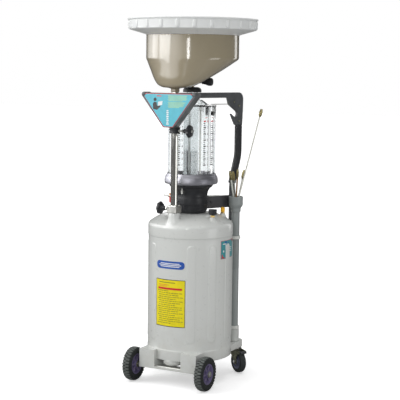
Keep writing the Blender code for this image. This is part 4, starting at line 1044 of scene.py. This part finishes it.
def ovals(rows, count=144):
    """Oval loops from rows of height, centre y, half width and half depth."""
    return [[(hx * cos(a), cy + hy * sin(a), z) for a in circle(count)] for z, cy, hx, hy in rows]


wall = [(BOWL_TOP - 1.2, 0, 207, 207), *BOWL_ROWS]
outer = smooth_rows(wall, (0, 7, 30, 26, 14, 8, 5, 3, 3, 0), 6)
inner_rows = [(BOWL_TOP - 1.2, 0, 204, 204), (1447, 0, 204, 204), (1401.8, -51, 162.4, 152.9),
    (1356, -112, 117.4, 91.9), (1333, -143, 85, 59), (1323.7, -150, 58.5, 43.5), (1321.5, -155, 22, 22),
    (1319, -155, 16.2, 16.2), (1298.8, -155, 15.8, 15.8)]
inner = smooth_rows(inner_rows, (0, 7, 30, 26, 14, 8, 3, 3, 0), 6)
lip = [(BOWL_TOP - 0.3, 0, 206.7, 206.7), (BOWL_TOP, 0, 206, 206), (BOWL_TOP, 0, 205, 205),
    (BOWL_TOP - 0.3, 0, 204.3, 204.3)]
piece("bowl_shell", [grid(ovals(lip[:2][::-1] + outer + inner[::-1] + lip[:1:-1]), True)], enamel, "bowl",
    ["catch_bowl"], crease=40)
outlet = (0, riser.y, 0)
piece("bowl_outlet_nut", [turned([(17.6, 1312), (21.5, 1312), (22, 1311.4), (22, 1303.6), (21.5, 1303),
    (17.6, 1303)], 6, 0.5, outlet)], enamel, "bowl")

# woven strainer grid in an oval rim, lying on the cone
GRID_Y, GRID_X_HALF, GRID_Y_HALF, GRID_Z = -111.6, 116, 90.5, 1356.6
WIRE_R, WIRE_PITCH = 0.7, 9
rim = [(GRID_Z + z, GRID_Y, GRID_X_HALF - 0.5 + out, GRID_Y_HALF - 0.5 + out) for out, z in ((0, 0.3), (0.4, 1.7),
    (-1.6, 2), (-4.2, 1.7), (-4.2, 0.3), (-1.6, 0))]
wires = [grid(ovals(rim, 120), True)]
WEAVES = ((True, GRID_X_HALF, GRID_Y_HALF, 0.75), (False, GRID_Y_HALF, GRID_X_HALF, 1.3))
for index in range(-12, 13):
    step = index * WIRE_PITCH
    for along_y, across, along, z in WEAVES:
        share = 1 - (step / (across - 2)) ** 2
        if share > 0.02:
            half = (along - 2) * sqrt(share)
            ends = [(step, hand * half) if along_y else (hand * half, step) for hand in (-1, 1)]
            wires.append(swept([Vector((x, GRID_Y + y, GRID_Z + z)) for x, y in ends], WIRE_R, 8))
piece("strainer_grid", wires, zinc, "grid", ["strainer"])

RING_BUMPS = 24
RING_R = corner_of("splash_ring")[1].x
BUMP_HALF = 9
steps = (1.2, 3.2, 5, 6.4, 7.6, 8.4, 9, 9.6)
ring_angles = [bump * 2 * pi / RING_BUMPS + step / RING_R for bump in range(RING_BUMPS)
    for step in (*[-step for step in steps[::-1]], *steps, 16, 24, 32, 40, 48, 56)]


def bumped(angle, r, z):
    """Half-round upright bumps with arched tops on the outside of the ring's drafted wall."""
    if not 1574.5 < z < 1613.5 or r < 282.9:
        return r, z
    step = 2 * pi / RING_BUMPS
    arc = (angle - round(angle / step) * step) * RING_R
    over = max(0, z - 1603, 1584 - z)
    reach = hypot(arc, over)
    if reach >= BUMP_HALF:
        return r, z
    lift = sqrt(1 - (reach / BUMP_HALF) ** 2)
    return min(RING_R - 0.8, r + 4.8 * lift), z


ring_wall = [(287.2, 1621), (289.2, 1621), (290, 1620), (290, 1617), (289.4, 1615.6), (287.6, 1614.8),
    (285.6, 1613.6)]
ring_wall += [(283.2 + 1.4 * (z - 1576) / 37, z) for z in (1612, 1611, 1609.5, 1608, 1606, 1603.5, 1600, 1595, 1590,
    1586, 1583, 1580.5, 1578, 1576.5, 1575.2)]
ring_wall += [(282.8, 1574.2), (281.4, 1573.4), (279.5, 1572.6), (262, 1567.6), (240, 1561.3), (216, 1554.6),
    (211.5, 1553), (209.6, 1551.6), (207.4, 1550.4), (202.2, 1550.3), (202, 1548), (202, 1539), (201.4, 1538.2),
    (200.2, 1538.2), (199.6, 1539), (199.6, 1553), (201, 1555.2), (214, 1559), (240, 1566), (262, 1572),
    (276, 1576.2), (279.2, 1578.4), (280.4, 1581.5), (281.6, 1612), (283.4, 1617), (285.2, 1620)]
piece("splash_ring_shell", [turned(ring_wall, closed=True, shape=bumped, angles=ring_angles)], ring_white, "ring",
    ["splash_ring"], crease=42)
seam_angle = radians(33.5)
seam = []
for r, z in ((213, 1553.1), (240, 1560.7), (262, 1567), (279, 1571.8)):
    side = Vector((cos(seam_angle), sin(seam_angle), 0))
    spot = Vector(around(seam_angle, r, z))
    seam.append([spot + side * 2 + Vector((0, 0, 0.6)), spot + side * 2 + Vector((0, 0, -1.3)),
        spot - side * 1.6 + Vector((0, 0, -1.3)), spot - side * 2 + Vector((0, 0, 0.6))])
soften(piece("splash_ring_seam", [grid(seam)], ring_white, "ring"), 0.4)

# ---------------------------------------------------------------- dome fittings
dress("gauge_stem", brass, 0.4, 2)
dress("relief_valve", brass, 0.4, 2)
dress("gauge_needle", red_dip, 0.15, 2)
gauge_at = (gauge.x, gauge.y, 0)
case_low, case_high = heights("gauge_case")
floor_z = case_high - 6
piece("gauge_body", [turned([(16.4, case_high), (18, case_high), (18.8, case_high - 0.7), (19, case_high - 1.8),
    (19, case_high - 4.2), (18.3, case_high - 5.2), (18.3, case_low + 4.4), (17.4, case_low + 2.2),
    (15.6, case_low + 0.9), (10, case_low + 0.1), (0, case_low + 0.1), (0, floor_z), (16.2, floor_z)], 72, 0.3,
    gauge_at)], black, stands_for=["gauge_case"])
piece("gauge_dial", [turned([(0, floor_z + 0.35), (15.9, floor_z + 0.35), (15.9, floor_z + 0.05),
    (0, floor_z + 0.05)], 64, 0, gauge_at)], dial_face)
marks = []
for index in range(25):
    a = radians(-135 + 11.25 * index)
    long_mark = index % 4 == 0
    reach, length, width = (13.4, 3.4, 0.55) if long_mark else (14, 2, 0.35)
    spot = (gauge.x + cos(a) * reach, gauge.y + sin(a) * reach, floor_z + 0.45)
    marks.append(block((length, width, 0.3), spot, a))
piece("gauge_marks", marks, ink_black)
piece("gauge_glass", [turned([(0, case_high - 0.6), (12, case_high - 0.75), (16.3, case_high - 1.2),
    (16.3, case_high - 2.4), (0, case_high - 2)], 64, 0, gauge_at)], lens)
piece("gauge_nut", [turned([(8.1, 750.4), (10.6, 750.4), (10.6, 756.6), (8.1, 756.6)], 6, 0.5, gauge_at)], brass)
cap_low, cap_high = heights("relief_cap")
piece("relief_button", [turned([(0, cap_high), (4.5, cap_high - 0.2), (7.2, cap_high - 1.4), (9, cap_high - 3.6),
    (9.8, cap_high - 6.6), (10, cap_high - 9), (10, cap_low + 1), (9.4, cap_low + 0.1), (3.4, cap_low + 0.1),
    (3.4, cap_high - 9.4), (0, cap_high - 9.4)], 96, 0, (relief.x, relief.y, 0), shape=ribbed_cap(16, 0.5,
    cap_low + 0.6, cap_high - 6))], yellow_cap, "relief", ["relief_cap"])
piece("relief_nut", [turned([(9.1, 751.5), (11.6, 751.5), (11.6, 755.6), (9.1, 755.6)], 6, 0.4,
    (relief.x, relief.y, 0))], brass)

# ---------------------------------------------------------------- printed films on the tank (no lettering)
FILM_R = TANK_R + 0.2


def inked(centre, width, low, high, corner=0, cols=12, thick=0.2):
    """Ink that lies on a film."""
    return wrapped(centre, width, low, high, FILM_R + 0.5, thick, corner, cols)


piece("notice_border", [wrapped(0, 149.6, 265.6, 477.4, FILM_R, 0.35, 3, 28)], ink_black)
piece("notice_film", [wrapped(0, 145, 268.4, 474.6, FILM_R, 0.5, 2.2, 28)], ink_yellow)
lines = []
lengths = (58, 118, 104, 122, 96, 120, 112, 84, 122, 116, 100, 121, 92, 118, 108, 122, 70)
for row, length in enumerate(lengths):
    z = 425 - 9 * row
    start = -62 + (6 if row % 4 else 0)
    position = start
    word = 0
    while position < start + length:
        width = 5 + 17 * (sin(12.99 * row + 78.23 * word + 1) * 4375.85 % 1)
        width = min(width, start + length - position)
        if width > 2:
            lines.append(inked(degrees((position + width / 2) / FILM_R), width, z, z + 2.7, cols=3))
        position += width + 2.4
        word += 1
lines.append(inked(-4, 84, 462, 465.2, cols=14))
piece("notice_lines", lines, ink_olive)
piece("notice_orange", [inked(-9, 56, 451.5, 454.5, cols=10), inked(-10, 44, 445.5, 448.5, cols=10)], ink_orange)
piece("notice_red_bar", [inked(0, 121, 432, 441, 0.6, 20, 0.25)], ink_red)
piece("badge_film", [wrapped(0, 142, 525, 559.5, FILM_R, 0.5, 15, 30)], ink_blue)
piece("badge_marks", [inked(0, width, low, high, 1.6, 20, 0.25) for width, low, high in ((96, 547.2, 550.6),
    (112, 540.4, 543.8), (96, 533.6, 537))], ink_white)
STICKER = 92.5
piece("sticker_edge", [wrapped(STICKER, 124.5, 564.8, 646.2, FILM_R, 0.3, 1, 26)], ink_red)
piece("sticker_film", [wrapped(STICKER, 122, 566, 645, FILM_R, 0.5, 1, 26)], ink_teal)
piece("sticker_marks", [inked(80.5, 17, 629, 633), inked(84.6, 4.5, 606, 636, 1), inked(79.5, 7, 594, 603, 3),
    inked(87.5, 10, 604, 617, 4.6), inked(87.5, 7, 586, 595, 3), inked(99, 26, 610, 613), inked(99, 20, 602, 605),
    inked(99, 24, 594, 597)], ink_white)
piece("sticker_flash", [wrapped(84.4, 12, 633, 642, FILM_R + 0.55, 0.2, 3), inked(91.5, 5, 612, 638, 1)], ink_blue)
piece("sticker_corner", [inked(76.7, 5, 568, 584), inked(79, 12, 568, 573), inked(106, 15, 636, 644)], ink_red)

# ---------------------------------------------------------------- floor, light, camera
scene = bpy.context.scene
scene.view_settings.view_transform = "Standard"
WHITE = (1.0, 1.0, 1.0, 1.0)
floor_look = Look("floor", (0.86, 0.86, 0.86), 0.0, 0.75, specular_ior_level=0.2)
floor_look.tint(floor_look.noise(2.0, 2.0), (0.84, 0.84, 0.845))
reach = floor_look.vector("LENGTH", floor_look.space, output="Value")
floor_look.put("Emission Color", WHITE)
floor_look.put("Emission Strength", floor_look.span(reach, 0.3, 2.6, 0.42, 0.95))
bounce = floor_look.node("BsdfDiffuse", {"Color": floor_look.by_ray("Is Glossy Ray", 0.48, 0.24)})
floor_look.seen_and_lit(bounce, "Material Output")
FLOOR_HALF = 30
floor_mesh = bpy.data.meshes.new("floor")
floor_mesh.from_pydata([(x * FLOOR_HALF, y * FLOOR_HALF, 0) for x, y in ((-1, -1), (1, -1), (1, 1), (-1, 1))], [],
    [(0, 1, 2, 3)])
floor_mesh.materials.append(floor_look.mat)
floor = bpy.data.objects.new("floor", floor_mesh)
scene.collection.objects.link(floor)

world = bpy.data.worlds.new("studio")
scene.world = world
world.use_nodes = True
sky = Nodes(world.node_tree, world.node_tree.nodes["Background"])
direction = sky.node("TexCoord").outputs["Generated"]
# reflections see a broad glow at the front left and a dim room elsewhere; soft light is even
GLOW_SIDE = (-0.80, -0.60, 0.0)
SOFT_LIGHT = 0.58
facing = sky.vector("DOT_PRODUCT", direction, GLOW_SIDE, output="Value")
glow = sky.span(facing, 0.25, 0.92, 0.12, 3.2, interpolation_type="SMOOTHSTEP")
lit = sky.node("Background", {"Strength": sky.by_ray("Is Glossy Ray", SOFT_LIGHT, glow)})
# rays bent by the clear parts see nine tall white panels with dark gaps between them
PANELS = 9.0
FIRST_PANEL = 90.0 + 28.7        # bearing in degrees
split = sky.node("SeparateXYZ", {0: direction}).outputs
bearing = sky.math("ARCTAN2", split["Y"], split["X"])
panels = sky.math("COSINE", sky.math("MULTIPLY_ADD", bearing, PANELS, radians(-PANELS * FIRST_PANEL)))
field = sky.span(panels, -0.1, 0.9, 0.03, 0.82)
sky.put("Color", WHITE)
sky.put("Strength", sky.by_ray("Is Camera Ray", field, 1.0))
sky.seen_and_lit(lit, "World Output")

LIGHTS = (          # name, place, height aimed at, power, width, height
    ("key", (-2.20, -2.32, 2.4), 1.1, 52.0, 1.9, 2.2),
    ("side", (-3.13, -0.80, 2.3), 1.1, 16.0, 1.3, 2.0),
    ("fill", (2.9, -3.0, 1.4), 0.7, 22.0, 2.4, 2.4),
    ("strip", (1.3, -3.9, 1.9), 1.2, 22.0, 0.42, 1.6),
    ("low", (2.8, -0.2, 0.6), 0.9, 7.0, 1.3, 0.9),
    ("edge", (1.1, 3.0, 1.5), 1.2, 9.0, 0.7, 2.4),
    ("top", (0.2, -0.4, 4.0), 0.8, 34.0, 2.6, 2.6),
    ("rim", (-1.5, 2.8, 2.2), 1.0, 12.0, 1.4, 2.0))
for name, place, aim_height, power, width, height in LIGHTS:
    data = bpy.data.lights.new(name, "AREA")
    data.energy = power
    data.shape = "RECTANGLE"
    data.size = width
    data.size_y = height
    lamp = bpy.data.objects.new(name, data)
    lamp.location = place
    lamp.rotation_euler = (Vector((0, 0, aim_height)) - Vector(place)).to_track_quat("-Z", "Y").to_euler()
    lamp.visible_glossy = name != "fill"
    scene.collection.objects.link(lamp)

azimuth, yaw, pitch, roll = (radians(angle) for angle in (28.68, -0.45, 6.43, 0.73))
DISTANCE, EYE_HEIGHT = 5.2054, 1.4001
heading = azimuth + yaw
forward = Vector((-sin(heading) * cos(pitch), cos(heading) * cos(pitch), -sin(pitch)))
right = Vector((cos(heading), sin(heading), 0.0))
up = right.cross(forward)
right, up = right * cos(roll) + up * sin(roll), up * cos(roll) - right * sin(roll)
data = bpy.data.cameras.new("camera")
data.sensor_width = 36.0
data.lens = 104.34
data.clip_end = 100.0
camera = bpy.data.objects.new("camera", data)
eye = Vector((DISTANCE * sin(azimuth), -DISTANCE * cos(azimuth), EYE_HEIGHT))
camera.matrix_world = Matrix.Translation(eye) @ Matrix((right, up, -forward)).transposed().to_4x4()
scene.collection.objects.link(camera)
scene.camera = camera
